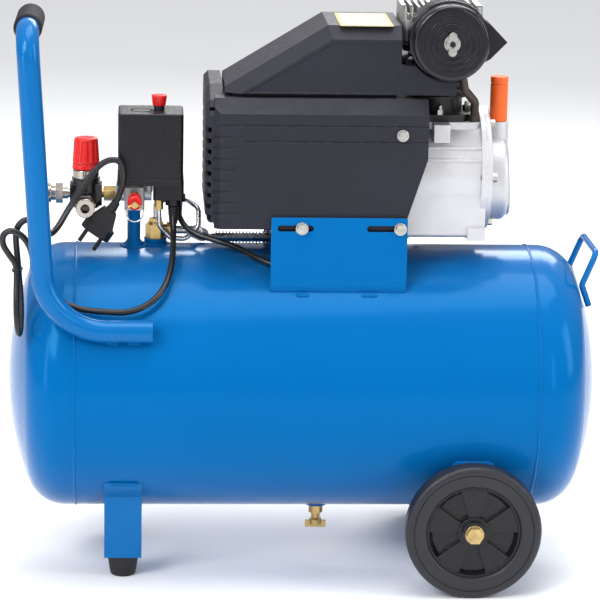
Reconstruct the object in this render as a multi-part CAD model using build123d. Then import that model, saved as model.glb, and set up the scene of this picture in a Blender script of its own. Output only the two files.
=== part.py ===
"""Air compressor: a horizontal tank on two wheels and a front foot, with a direct-drive piston pump on top.

Millimetres. +X points to the wheel end, -Y to the operator's side, +Z up. The floor is z = 0 and the origin is
under the middle of the tank.
"""

import math
import os

from build123d import *

# ---------------------------------------------------------------- driving sizes
TANK_R = 150.0  # outside radius of the tank
TANK_WALL = 2.5
SHELL_HALF = 257.0  # half of the length between the two head seams
HEAD_FLANGE = 12.0  # straight part of each dished head
HEAD_KNUCKLE = 45.0  # knuckle radius of each head
HEAD_DEPTH = 77.0  # from seam to crown
WHEEL_R = 76.0
WHEEL_WIDTH = 26.0
WHEEL_X = 186.0
WHEEL_FACE_Y = 168.0  # outer face of each tyre
TANK_CLEAR = 65.6  # floor to the bottom of the tank

TUBE_R = 12.5  # handle tube
TUBE_WALL = 1.5
GRIP_R = 15.5
GRIP_LENGTH = 95.0
HANDLE_TOP = 626.0  # height of the grip's axis

PUMP_AXIS_Z = 458.0  # motor and crank axis
PISTON_X = 148.0  # cylinder axis
BORE_R = 23.5
CRANK_THROW = 19.0
ROD_LENGTH = 105.0
SHAFT_R = 8.5
FIT = 0.05  # radial clearance of a running fit
ROTOR_GAP = 0.5

SHROUD_HALF = 91.0  # half width of the pump cover
SHROUD_WALL = 2.5
SHROUD_BOTTOM = 403.0
SHROUD_TOP = 547.0
SHROUD_LEFT = -104.0
SHROUD_RIGHT = 131.0
DUCT_HALF = 72.0
DUCT_TOP = 626.0

FILTER_X = 153.0
FILTER_Z = 612.0
FILTER_R = 42.0
FILTER_FRONT = -98.0

BRACKET_LEFT = -41.0
BRACKET_RIGHT = 110.0
BRACKET_TOP = 417.0
BRACKET_T = 3.0

SWITCH_W = 73.0
SWITCH_H = 81.5
SWITCH_D = 64.0
SWITCH_X = -174.0
SWITCH_Z = 439.5  # underside of the switch body

RISER_X = -192.5
MANIFOLD_Z = 421.0
REG_X = -246.5
REG_Z = 425.0  # height of the air line through the regulator

CORD_R = 3.5
LEAD_R = 3.2

# ---------------------------------------------------------------- derived places
TANK_Z = TANK_CLEAR + TANK_R
TANK_TOP = TANK_Z + TANK_R
AXLE_Z = WHEEL_R
HEAD_END = SHELL_HALF + HEAD_DEPTH
STATOR_R = 59.0
HOUSING_R = 62.0

os.makedirs("parts", exist_ok=True)


# ---------------------------------------------------------------- helpers
def save(part, name):
    export_step(part, f"parts/{name}.step")


def cyl_x(radius, x0, x1, y=0.0, z=0.0):
    """A cylinder along X from x0 to x1."""
    return Pos((x0 + x1) / 2, y, z) * Rot(0, 90, 0) * Cylinder(radius, abs(x1 - x0))


def cyl_y(radius, y0, y1, x=0.0, z=0.0):
    """A cylinder along Y from y0 to y1."""
    return Pos(x, (y0 + y1) / 2, z) * Rot(90, 0, 0) * Cylinder(radius, abs(y1 - y0))


def cyl_z(radius, z0, z1, x=0.0, y=0.0):
    """A cylinder along Z from z0 to z1."""
    return Pos(x, y, (z0 + z1) / 2) * Cylinder(radius, abs(z1 - z0))


def block(x0, x1, y0, y1, z0, z1):
    """A box between two corners."""
    return Pos((x0 + x1) / 2, (y0 + y1) / 2, (z0 + z1) / 2) * Box(x1 - x0, y1 - y0, z1 - z0)


def prism_y(points, y0, y1):
    """A polygon given as (x, z) pairs, pulled along Y from y0 to y1."""
    face = make_face(Polyline([(x, y1, z) for x, z in points], close=True))
    return extrude(face, amount=abs(y1 - y0), dir=(0, -1, 0))


def prism_x(points, x0, x1):
    """A polygon given as (y, z) pairs, pulled along X from x0 to x1."""
    face = make_face(Polyline([(x0, y, z) for y, z in points], close=True))
    return extrude(face, amount=abs(x1 - x0), dir=(1, 0, 0))


def hexagon(across, length):
    """A hexagonal prism along Z, centred."""
    return extrude(RegularPolygon(across / 2, 6, major_radius=False), amount=length / 2, both=True)


def hex_y(across, y0, y1, x, z):
    return Pos(x, (y0 + y1) / 2, z) * Rot(90, 0, 0) * hexagon(across, abs(y1 - y0))


def hex_x(across, x0, x1, y, z):
    return Pos((x0 + x1) / 2, y, z) * Rot(0, 90, 0) * hexagon(across, abs(x1 - x0))


def hex_z(across, z0, z1, x, y):
    return Pos(x, y, (z0 + z1) / 2) * hexagon(across, abs(z1 - z0))


def pipe(points, radii, radius):
    """A round tube along straight runs joined by tangent arcs."""
    path = FilletPolyline(*points, radius=radii)
    start = path @ 0
    section = Plane(origin=start, z_dir=path % 0) * Circle(radius)
    return sweep(section, path=path)


def mirror_y(part):
    return mirror(part, about=Plane.XZ)


def head_profile_x(distance):
    """Outside x of a head at a distance from the tank's axis."""
    knuckle_centre = TANK_R - HEAD_KNUCKLE
    rise = HEAD_DEPTH - HEAD_FLANGE
    crown = (rise**2 + TANK_R**2 - 2 * HEAD_KNUCKLE * TANK_R) / (2 * (rise - HEAD_KNUCKLE))
    meet = math.asin(knuckle_centre / (crown - HEAD_KNUCKLE))
    if distance <= crown * math.sin(meet):
        return HEAD_END - crown + math.sqrt(crown**2 - distance**2)
    return SHELL_HALF + HEAD_FLANGE + math.sqrt(HEAD_KNUCKLE**2 - (distance - knuckle_centre) ** 2)


# ---------------------------------------------------------------- tank
def head_solid(radius, end, knuckle, start):
    """The solid of revolution inside a dished head that ends at x = end."""
    rise = end - SHELL_HALF - HEAD_FLANGE
    knuckle_centre = radius - knuckle
    crown = (rise**2 + radius**2 - 2 * knuckle * radius) / (2 * (rise - knuckle))
    meet = math.asin(knuckle_centre / (crown - knuckle))
    touch = (end - crown + crown * math.cos(meet), crown * math.sin(meet))
    half = meet / 2
    crown_mid = (end - crown + crown * math.cos(half), crown * math.sin(half))
    middle = (meet + math.pi / 2) / 2
    flange_x = SHELL_HALF + HEAD_FLANGE
    knuckle_mid = (flange_x + knuckle * math.cos(middle), knuckle_centre + knuckle * math.sin(middle))
    outline = [
        ThreePointArc((end, 0), crown_mid, touch),
        ThreePointArc(touch, knuckle_mid, (flange_x, radius)),
        Line((flange_x, radius), (start, radius)),
        Line((start, radius), (start, 0)),
        Line((start, 0), (end, 0)),
    ]
    return Pos(0, 0, TANK_Z) * revolve(make_face(outline), axis=Axis.X)


def tank_head():
    """One dished head, with a joggled skirt that slides into the shell."""
    skirt_r = TANK_R - TANK_WALL - FIT
    outer = head_solid(TANK_R, HEAD_END, HEAD_KNUCKLE, SHELL_HALF + 0.3)
    skirt = cyl_x(skirt_r, SHELL_HALF - 14, SHELL_HALF + 2, z=TANK_Z)
    inner = head_solid(skirt_r - TANK_WALL, HEAD_END - TANK_WALL, HEAD_KNUCKLE - TANK_WALL, SHELL_HALF - 15)
    return outer + skirt - inner


def tank_shell():
    shell = cyl_x(TANK_R, -SHELL_HALF, SHELL_HALF, z=TANK_Z)
    shell -= cyl_x(TANK_R - TANK_WALL, -SHELL_HALF - 1, SHELL_HALF + 1, z=TANK_Z)
    for port_x, port_y in ((RISER_X, 0.0), (CHECK_X, CHECK_Y)):
        shell -= cyl_z(6, TANK_Z + 100, TANK_TOP + 5, x=port_x, y=port_y)
    return shell - cyl_z(6, TANK_Z - TANK_R - 5, TANK_Z - 100, x=DRAIN_X)


CHECK_X = -168.0
CHECK_Y = 14.0
DRAIN_X = 20.0


def surface_z(y):
    """Height of the tank's top surface at a distance y from its axis plane."""
    return TANK_Z + math.sqrt(TANK_R**2 - y**2)


def tank_cutter(extra=0.0):
    return cyl_x(TANK_R + extra, -SHELL_HALF - 2, SHELL_HALF + 2, z=TANK_Z)


def riser():
    """The welded stub that feeds the manifold, with a flared foot on the tank."""
    foot = Pos(RISER_X, 0, TANK_TOP + 2.5) * Cone(12.5, 8.5, 7)
    stub = cyl_z(7.5, TANK_TOP, MANIFOLD_Z - 13, x=RISER_X)
    return foot + stub - tank_cutter() - cyl_z(4.5, TANK_Z, MANIFOLD_Z, x=RISER_X)


def bosses():
    """The threaded bosses for the check valve and the drain."""
    top = cyl_z(13, TANK_TOP - 8, TANK_TOP + 6, x=CHECK_X, y=CHECK_Y)
    top = top - tank_cutter() - cyl_z(6, TANK_Z, TANK_TOP + 10, x=CHECK_X, y=CHECK_Y)
    low = cyl_z(12, TANK_CLEAR - 6, TANK_CLEAR + 8, x=DRAIN_X)
    low = low - tank_cutter() - cyl_z(6, TANK_CLEAR - 10, TANK_Z, x=DRAIN_X)
    return [top, low]


save(tank_shell(), "tank_shell")
wheel_end_head = tank_head()
save(Compound([wheel_end_head, mirror(wheel_end_head, about=Plane.YZ)]), "tank_heads")
save(Compound([riser()] + bosses()), "tank_ports")

# ---------------------------------------------------------------- handle
HANDLE_RADIAL = TANK_R + TUBE_R + 0.1  # from the tank's axis to the weld-on stretch
HANDLE_Y = -140.0
HANDLE_LOW = TANK_Z + math.sqrt(HANDLE_RADIAL**2 - HANDLE_Y**2)
HANDLE_CUT_X = -171.0
HANDLE_CORNER_X = -287.8
HANDLE_TOP_X = -307.0
HANDLE_TIP_Y = -20.0
HANDLE_BENDS = (70.0, 30.0)


def handle_tube(radius):
    points = [
        (HANDLE_CUT_X, HANDLE_Y, HANDLE_LOW),
        (HANDLE_CORNER_X, HANDLE_Y, HANDLE_LOW),
        (HANDLE_TOP_X, HANDLE_Y, HANDLE_TOP),
        (HANDLE_TOP_X, HANDLE_TIP_Y, HANDLE_TOP),
    ]
    return pipe(points, list(HANDLE_BENDS), radius)


def handle_grip():
    start = HANDLE_TIP_Y + 3 - GRIP_LENGTH
    grip = cyl_y(GRIP_R, start, HANDLE_TIP_Y + 3, x=HANDLE_TOP_X, z=HANDLE_TOP)
    grip = fillet(grip.edges().filter_by(GeomType.CIRCLE), 3)
    return grip - cyl_y(TUBE_R, start - 1, HANDLE_TIP_Y, x=HANDLE_TOP_X, z=HANDLE_TOP)


save(handle_tube(TUBE_R) - handle_tube(TUBE_R - TUBE_WALL), "handle_arm")
save(handle_grip(), "handle_grip")

# ---------------------------------------------------------------- tow handle on the wheel-end head
TOW_R = 3.6
TOW_HALF = 50.0
TOW_TOP_Z = 370.0
TOW_TOP_X = 328.5
TOW_BEND_Z = 333.0
TOW_FOOT_Z = 309.0


def tow_handle():
    def on_head(z):
        return head_profile_x(math.hypot(TOW_HALF, z - TANK_Z)) + TOW_R + 0.4

    side = [
        (on_head(TOW_FOOT_Z) + 1.5, TOW_FOOT_Z),
        (on_head(TOW_BEND_Z) + 1.5, TOW_BEND_Z),
        (TOW_TOP_X, TOW_TOP_Z),
    ]
    points = [(x, -TOW_HALF, z) for x, z in side] + [(x, TOW_HALF, z) for x, z in reversed(side)]
    return pipe(points, [7, 9, 9, 7], TOW_R) - wheel_end_head


save(tow_handle(), "tow_handle")

# ---------------------------------------------------------------- pump brackets
SLOT_Z = 405.0
SLOT_CENTRES = (-14.0, 85.0)
SCREW_XS = (-7.0, 102.0)
SLOT_LENGTH = 40.0
SLOT_H = 7.0


def pump_bracket():
    """The front saddle plate: an upright with slots and a lower edge curled onto the tank."""
    outer_y = -SHROUD_HALF - 1.0 - BRACKET_T
    inner_y = outer_y + BRACKET_T
    foot_z = surface_z(inner_y) + 5
    plate = block(BRACKET_LEFT, BRACKET_RIGHT, outer_y, inner_y, foot_z, BRACKET_TOP)
    curl = prism_x([(outer_y, foot_z), (inner_y, foot_z), (-78, foot_z - 2), (-78, foot_z - 16),
                    (outer_y + 2, foot_z - 7)], BRACKET_LEFT, BRACKET_RIGHT)
    part = plate + curl - tank_cutter(0.1)
    for centre in SLOT_CENTRES:
        slot = Pos(centre, 0, SLOT_Z) * Rot(90, 0, 0) * extrude(SlotOverall(SLOT_LENGTH, SLOT_H), 120)
        part -= slot
    top = part.edges().filter_by(Axis.Y).group_by(Axis.Z)[-1]
    return fillet(top, 1.5)


front_bracket = pump_bracket()
save(Compound([front_bracket, mirror_y(front_bracket)]), "pump_brackets")

# ---------------------------------------------------------------- base tray that carries the pump between the brackets
BASE_FLOOR = 385.0
BASE_T = 3.0
BASE_HALF = SHROUD_HALF - SHROUD_WALL - 0.5
BASE_TOP = BASE_FLOOR + BASE_T
GROMMET_X, GROMMET_Y = 18.0, -52.0


def base_tray():
    outline = [(-BASE_HALF, 414), (-BASE_HALF, BASE_FLOOR), (BASE_HALF, BASE_FLOOR), (BASE_HALF, 414),
               (BASE_HALF - BASE_T, 414), (BASE_HALF - BASE_T, BASE_TOP), (-BASE_HALF + BASE_T, BASE_TOP),
               (-BASE_HALF + BASE_T, 414)]
    tray = prism_x(outline, BRACKET_LEFT + 3, BRACKET_RIGHT - 1)
    for x in SCREW_XS:
        tray -= cyl_y(3, -100, 100, x=x, z=SLOT_Z)
    return tray - cyl_z(6, BASE_FLOOR - 2, BASE_TOP + 2, x=GROMMET_X, y=GROMMET_Y)


def bracket_screws():
    """Four hexagon screws with washers, through the slots and the cover into the tray."""
    outer_y = -SHROUD_HALF - 1.0 - BRACKET_T
    screws = []
    for x in SCREW_XS:
        washer = cyl_y(7, outer_y - 1.5, outer_y, x=x, z=SLOT_Z)
        head = hex_y(10, outer_y - 6, outer_y - 1.5, x, SLOT_Z)
        shank = cyl_y(3, outer_y - 2, -BASE_HALF + BASE_T, x=x, z=SLOT_Z)
        screw = washer + head + shank
        screws += [screw, mirror_y(screw)]
    return screws


save(base_tray(), "pump_base_tray")

# ---------------------------------------------------------------- front foot
FOOT_LEFT, FOOT_RIGHT = -224.0, -182.0
FOOT_T = 4.0
LEG_Y = -95.0
LEG_FOOT_Y = -90.0
PAD_TOP = 24.0
PAD_R = 17.0
PAD_Y = -76.0


def foot_strap():
    """A strap under the tank that ends in two bent legs with foot tabs."""
    arc_inner, arc_outer = TANK_R + 0.1, TANK_R + 0.1 + FOOT_T
    band = cyl_x(arc_outer, FOOT_LEFT, FOOT_RIGHT, z=TANK_Z) - cyl_x(arc_inner, FOOT_LEFT - 1, FOOT_RIGHT + 1, z=TANK_Z)
    band &= block(FOOT_LEFT, FOOT_RIGHT, -114, 114, 40, 118)
    leg = prism_x([(LEG_Y - FOOT_T, 101), (LEG_Y - FOOT_T, 70), (LEG_FOOT_Y - FOOT_T, PAD_TOP),
                   (-58, PAD_TOP), (-58, PAD_TOP + FOOT_T), (LEG_FOOT_Y, PAD_TOP + FOOT_T), (LEG_Y, 70),
                   (LEG_Y, 94)], FOOT_LEFT, FOOT_RIGHT)
    leg -= cyl_x(arc_inner, FOOT_LEFT - 1, FOOT_RIGHT + 1, z=TANK_Z)
    part = band + leg + mirror_y(leg)
    x = (FOOT_LEFT + FOOT_RIGHT) / 2
    for y in (PAD_Y, -PAD_Y):
        part -= cyl_z(3.2, PAD_TOP - 2, PAD_TOP + FOOT_T + 2, x=x, y=y)
    return part


def foot_pads():
    """Two tapered rubber feet, each with a recess for its screw."""
    x = (FOOT_LEFT + FOOT_RIGHT) / 2
    pads = []
    for y in (PAD_Y, -PAD_Y):
        pad = Pos(x, y, PAD_TOP / 2) * Cone(PAD_R - 3, PAD_R + 1, PAD_TOP)
        pad = fillet(pad.edges().group_by(Axis.Z)[0], 3)
        pads.append(pad - cyl_z(3.2, -1, PAD_TOP + 1, x=x, y=y) - cyl_z(7, -1, 8, x=x, y=y))
    return Compound(pads)


def pad_screws():
    x = (FOOT_LEFT + FOOT_RIGHT) / 2
    screws = []
    for y in (PAD_Y, -PAD_Y):
        shank = cyl_z(3, 4, PAD_TOP + FOOT_T + 8, x=x, y=y)
        head = cyl_z(6, 4, 8, x=x, y=y)
        nut = hex_z(10, PAD_TOP + FOOT_T, PAD_TOP + FOOT_T + 5, x, y)
        screws.append(shank + head + nut)
    return screws


save(foot_strap(), "front_foot_strap")
save(foot_pads(), "foot_pads")

# ---------------------------------------------------------------- wheels
AXLE_R = 5.0
HUB_R = 13.5
RIM_R = 52.0
WHEEL_BACK_Y = WHEEL_FACE_Y - WHEEL_WIDTH
WEB_T = 4.0
WEB_OUT_Y = WHEEL_BACK_Y - 2.0
WEB_HALF = 23.0
HUB_FACE_Y = WHEEL_FACE_Y + 2.0
WASHER_T = 1.6
HEAD_H = 6.4


def wheel_bracket():
    """A channel welded to the tank's side, for the near wheel's bolt."""
    left, right = WHEEL_X - WEB_HALF, WHEEL_X + WEB_HALF
    inner_y = -WEB_OUT_Y + WEB_T
    web = block(left, right, -WEB_OUT_Y, inner_y, AXLE_Z - 20, 149)
    web = fillet(web.edges().filter_by(Axis.Y).group_by(Axis.Z)[0], 12)
    flange_outline = [(inner_y, AXLE_Z - 8), (inner_y, 146), (-90, 146), (-90, AXLE_Z + 14),
                      (inner_y + 12, AXLE_Z - 8)]
    part = web
    for x in (left, right - WEB_T):
        part += prism_x(flange_outline, x, x + WEB_T)
    part -= tank_cutter(0.1)
    return part - cyl_y(AXLE_R + FIT, -200, -100, x=WHEEL_X, z=AXLE_Z)


def tyre():
    """A solid tyre with rounded shoulders, a stepped sidewall and a rounded seat for the rim."""
    ring = cyl_y(WHEEL_R, -WHEEL_FACE_Y, -WHEEL_BACK_Y, x=WHEEL_X, z=AXLE_Z)
    ring = fillet(ring.edges().filter_by(GeomType.CIRCLE), 6)
    for y in (-WHEEL_FACE_Y, -WHEEL_BACK_Y):
        ring -= cyl_y(67.5, y - 1, y + 1, x=WHEEL_X, z=AXLE_Z) - cyl_y(66, y - 2, y + 2, x=WHEEL_X, z=AXLE_Z)
    ring -= cyl_y(RIM_R, -WHEEL_FACE_Y - 1, -WHEEL_BACK_Y + 1, x=WHEEL_X, z=AXLE_Z)
    seat = [e for e in ring.edges().filter_by(GeomType.CIRCLE) if abs(e.radius - RIM_R) < 0.01]
    return fillet(seat, 4.5)


def sector(inner, outer, start_deg, sweep_deg, y0, y1):
    """A ring sector about the axle, from y0 to y1."""
    steps = 6
    angles = [math.radians(start_deg + sweep_deg * i / steps) for i in range(steps + 1)]
    reach = outer + 30
    wedge = [(WHEEL_X, AXLE_Z)] + [(WHEEL_X + reach * math.cos(a), AXLE_Z + reach * math.sin(a)) for a in angles]
    ring = cyl_y(outer, y0, y1, x=WHEEL_X, z=AXLE_Z) - cyl_y(inner, y0 - 1, y1 + 1, x=WHEEL_X, z=AXLE_Z)
    return ring & prism_y(wedge, y0, y1)


def wheel_rim():
    """A moulded rim with five raised and five recessed fields round the hub."""
    face, back = -WHEEL_FACE_Y, -WHEEL_BACK_Y
    rim = cyl_y(RIM_R, face + 4.5, back - 4.5, x=WHEEL_X, z=AXLE_Z)
    rim -= Pos(WHEEL_X, face + 8, AXLE_Z) * Rot(90, 0, 0) * Cone(45.5, 50, 7)
    rim -= cyl_y(46, back - 7, back, x=WHEEL_X, z=AXLE_Z)
    rim += cyl_y(HUB_R, -HUB_FACE_Y, back + 0.5, x=WHEEL_X, z=AXLE_Z)
    rim += cyl_y(HUB_R + 4, face + 4, back - 5, x=WHEEL_X, z=AXLE_Z)
    for i in range(5):
        rim += sector(15, 50.5, 72 * i, 36, face + 6, face + 12.5)
    return rim - cyl_y(AXLE_R + FIT, -200, -100, x=WHEEL_X, z=AXLE_Z)


def wheel_bolts():
    """The two wheel bolts with their washers."""
    head_y = -HUB_FACE_Y - 0.3 - WASHER_T
    shank = cyl_y(AXLE_R, head_y, -WEB_OUT_Y + WEB_T + 10, x=WHEEL_X, z=AXLE_Z)
    head = hex_y(17, head_y - HEAD_H, head_y, WHEEL_X, AXLE_Z)
    washer = cyl_y(10.5, head_y, head_y + WASHER_T, x=WHEEL_X, z=AXLE_Z)
    bolt = shank + head + washer
    return [bolt, mirror_y(bolt)]


def wheel_nuts():
    nut = hex_y(17, -WEB_OUT_Y + WEB_T, -WEB_OUT_Y + WEB_T + 8, WHEEL_X, AXLE_Z)
    nut -= cyl_y(AXLE_R, -200, -100, x=WHEEL_X, z=AXLE_Z)
    return [nut, mirror_y(nut)]


near_bracket = wheel_bracket()
save(Compound([near_bracket, mirror_y(near_bracket)]), "wheel_brackets")
near_tyre = tyre()
near_rim = wheel_rim()
save(near_tyre, "tyre_near")
save(near_rim, "rim_near")
save(mirror_y(near_tyre), "tyre_far")
save(mirror_y(near_rim), "rim_far")
save(Compound(wheel_bolts() + wheel_nuts()), "wheel_bolts")

# ---------------------------------------------------------------- drain valve under the tank
DRAIN_SEAT_Z = TANK_CLEAR - 6


def drain_valve():
    body = hex_z(14, DRAIN_SEAT_Z - 10, DRAIN_SEAT_Z, DRAIN_X, 0)
    body += cyl_z(5.9, DRAIN_SEAT_Z, DRAIN_SEAT_Z + 9, x=DRAIN_X)
    body += cyl_z(5, DRAIN_SEAT_Z - 16, DRAIN_SEAT_Z - 10, x=DRAIN_X)
    return body - cyl_z(2.5, DRAIN_SEAT_Z - 20, DRAIN_SEAT_Z + 12, x=DRAIN_X)


def drain_screw():
    """The hand screw that opens the drain, with two wings."""
    top = DRAIN_SEAT_Z - 10
    stem = cyl_z(2.5 - FIT, DRAIN_SEAT_Z - 24, DRAIN_SEAT_Z - 4, x=DRAIN_X)
    disc = cyl_z(7, DRAIN_SEAT_Z - 24, DRAIN_SEAT_Z - 18, x=DRAIN_X)
    wings = block(DRAIN_X - 12, DRAIN_X + 12, -1.5, 1.5, DRAIN_SEAT_Z - 28, DRAIN_SEAT_Z - 20)
    return (stem + disc + wings) & cyl_z(14, 0, top + 20, x=DRAIN_X)


save(drain_valve(), "drain_valve")
save(drain_screw(), "drain_screw")

# ---------------------------------------------------------------- motor
HOUSING_LEFT, HOUSING_RIGHT = -62.0, 104.0
STATOR_LEFT, STATOR_RIGHT = -45.0, 60.0
ROTOR_R = 34.0 - ROTOR_GAP
BELL_LEFT = -76.0
CASE_LEFT = 104.0
CASE_WALL = 18.0
BEARING_R = 20.0
BEARING_W = 12.0
WEB_LEFT = 124.0
WEB_T_X = 10.0
FAN_X0, FAN_X1 = -97.0, -82.0
FAN_R = 56.0


def along_axis(radius, x0, x1):
    return cyl_x(radius, x0, x1, z=PUMP_AXIS_Z)


def motor_housing():
    """The cast housing: a barrel, the fan-side bearing shield with windows, and a foot on the tray."""
    bell = along_axis(HOUSING_R, BELL_LEFT, HOUSING_LEFT)
    for i in range(6):
        angle = math.radians(60 * i + 30)
        y, z = 42 * math.cos(angle), PUMP_AXIS_Z + 42 * math.sin(angle)
        bell -= cyl_x(9, BELL_LEFT - 1, HOUSING_LEFT + 1, y=y, z=z)
    bell -= along_axis(BEARING_R, BELL_LEFT - 1, BELL_LEFT + BEARING_W)
    bell -= along_axis(SHAFT_R + 1, BELL_LEFT - 1, HOUSING_LEFT + 1)
    barrel = along_axis(HOUSING_R, HOUSING_LEFT, HOUSING_RIGHT)
    barrel += block(-36, 50, -40, 40, BASE_TOP, BASE_TOP + 24)
    return bell + barrel - along_axis(STATOR_R, HOUSING_LEFT, HOUSING_RIGHT + 1)


def stator():
    body = along_axis(STATOR_R, STATOR_LEFT, STATOR_RIGHT)
    windings = along_axis(52, STATOR_LEFT - 12, STATOR_RIGHT + 12) - along_axis(38, STATOR_LEFT - 13, STATOR_RIGHT + 13)
    return body + windings - along_axis(ROTOR_R + ROTOR_GAP, STATOR_LEFT - 1, STATOR_RIGHT + 1)


def rotor():
    body = along_axis(ROTOR_R, STATOR_LEFT, STATOR_RIGHT) + along_axis(24, STATOR_LEFT - 5, STATOR_RIGHT + 5)
    return body - along_axis(SHAFT_R, STATOR_LEFT - 6, STATOR_RIGHT + 6)


def bearings():
    rings = []
    for x0 in (BELL_LEFT, CASE_LEFT + 4):
        rings.append(along_axis(BEARING_R, x0, x0 + BEARING_W) - along_axis(SHAFT_R + FIT, x0 - 1, x0 + BEARING_W + 1))
    return Compound(rings)


def fan():
    """The cooling fan: a hub with nine pitched blades."""
    hub = along_axis(16, FAN_X0, FAN_X1)
    mid_x = (FAN_X0 + FAN_X1) / 2
    for i in range(9):
        blade = Pos(0, 0, 34) * Rot(0, 0, 55) * Box(2, 15, 44)
        hub += Pos(mid_x, 0, PUMP_AXIS_Z) * Rot(40 * i, 0, 0) * blade
    disc = along_axis(FAN_R, FAN_X0 - 2, FAN_X1 + 2)
    return (hub & disc) - along_axis(SHAFT_R, FAN_X0 - 3, FAN_X1 + 3)


def crank():
    """The crank web with its counterweight and a short pin."""
    web = along_axis(20, WEB_LEFT, WEB_LEFT + WEB_T_X)
    web += cyl_x(14, WEB_LEFT, WEB_LEFT + WEB_T_X, z=PUMP_AXIS_Z + CRANK_THROW)
    weight = along_axis(38, WEB_LEFT, WEB_LEFT + WEB_T_X)
    weight &= block(WEB_LEFT, WEB_LEFT + WEB_T_X, -36, 36, PUMP_AXIS_Z - 40, PUMP_AXIS_Z - 4)
    pin = cyl_x(7.5, WEB_LEFT + WEB_T_X, ROD_LEFT - 0.8, z=PUMP_AXIS_Z + CRANK_THROW)
    return web + weight + pin - along_axis(SHAFT_R, WEB_LEFT - 1, WEB_LEFT + WEB_T_X - 2)


ROD_T = 12.0
ROD_LEFT = PISTON_X - ROD_T / 2
WRIST_Z = PUMP_AXIS_Z + CRANK_THROW + ROD_LENGTH
WRIST_R = 6.0
PISTON_CROWN = WRIST_Z + 19
PISTON_SKIRT = WRIST_Z - 16
PISTON_R = BORE_R - 0.15


def con_rod():
    big_z = PUMP_AXIS_Z + CRANK_THROW
    rod = cyl_x(14, ROD_LEFT, ROD_LEFT + ROD_T, z=big_z) + cyl_x(10.5, ROD_LEFT, ROD_LEFT + ROD_T, z=WRIST_Z)
    rod += prism_x([(-6, big_z), (6, big_z), (5, WRIST_Z), (-5, WRIST_Z)], ROD_LEFT + 2, ROD_LEFT + ROD_T - 2)
    rod -= cyl_x(7.5 + FIT, ROD_LEFT - 1, ROD_LEFT + ROD_T + 1, z=big_z)
    return rod - cyl_x(WRIST_R + FIT, ROD_LEFT - 1, ROD_LEFT + ROD_T + 1, z=WRIST_Z)


def ring_grooves(radius):
    grooves = []
    for z in (PISTON_CROWN - 6, PISTON_CROWN - 11):
        grooves.append(cyl_z(PISTON_R + 1, z, z + 2, x=PISTON_X) - cyl_z(radius, z - 1, z + 3, x=PISTON_X))
    return grooves


def piston():
    body = cyl_z(PISTON_R, PISTON_SKIRT, PISTON_CROWN, x=PISTON_X)
    body -= cyl_z(PISTON_R - 5, PISTON_SKIRT - 1, PISTON_CROWN - 6.5, x=PISTON_X)
    bosses_x = PISTON_X - ROD_LEFT + 0.6
    for side in (-1, 1):
        x0 = PISTON_X + side * bosses_x
        x1 = PISTON_X + side * (PISTON_R - 2)
        body += cyl_x(9, min(x0, x1), max(x0, x1), z=WRIST_Z) & cyl_z(PISTON_R, PISTON_SKIRT, PISTON_CROWN, x=PISTON_X)
    for groove in ring_grooves(PISTON_R - 2.5):
        body -= groove
    return body - cyl_x(WRIST_R, PISTON_X - 30, PISTON_X + 30, z=WRIST_Z)


def piston_rings():
    rings = []
    for z in (PISTON_CROWN - 6, PISTON_CROWN - 11):
        ring = cyl_z(BORE_R - FIT, z + 0.1, z + 1.9, x=PISTON_X) - cyl_z(PISTON_R - 2.4, z, z + 2, x=PISTON_X)
        rings.append(ring)
    return rings


save(motor_housing(), "motor_housing")
save(stator(), "motor_stator")
save(Compound([rotor(), along_axis(SHAFT_R, FAN_X0 - 1, WEB_LEFT + WEB_T_X - 2)]), "motor_rotor_and_shaft")
save(bearings(), "shaft_bearings")
save(fan(), "cooling_fan")
save(crank(), "crank")
save(con_rod(), "connecting_rod")
wrist_pin = cyl_x(WRIST_R, PISTON_X - 20, PISTON_X + 20, z=WRIST_Z)
save(Compound([piston(), wrist_pin] + piston_rings()), "piston")

# ---------------------------------------------------------------- crankcase and cylinder
CASE_R = 64.0
CASE_FLANGE_X = 194.0
CASE_RIGHT = 200.0
CASE_FLANGE_R = 70.0
CAVITY_R = 50.0
DECK_Z = 516.0
DECK_HALF_Y = 40.0
SUMP_HALF_Y = 60.0
COVER_FLANGE_T = 6.0
COVER_SCREW_R = 63.8
DOME_R = 49.0
DOME_Z = 448.0
DOME_RIGHT = 228.0
BOSS_X, BOSS_Y = 217.5, -8.0
BOSS_TOP = 513.0
PLUG_TOP = 564.0


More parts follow.
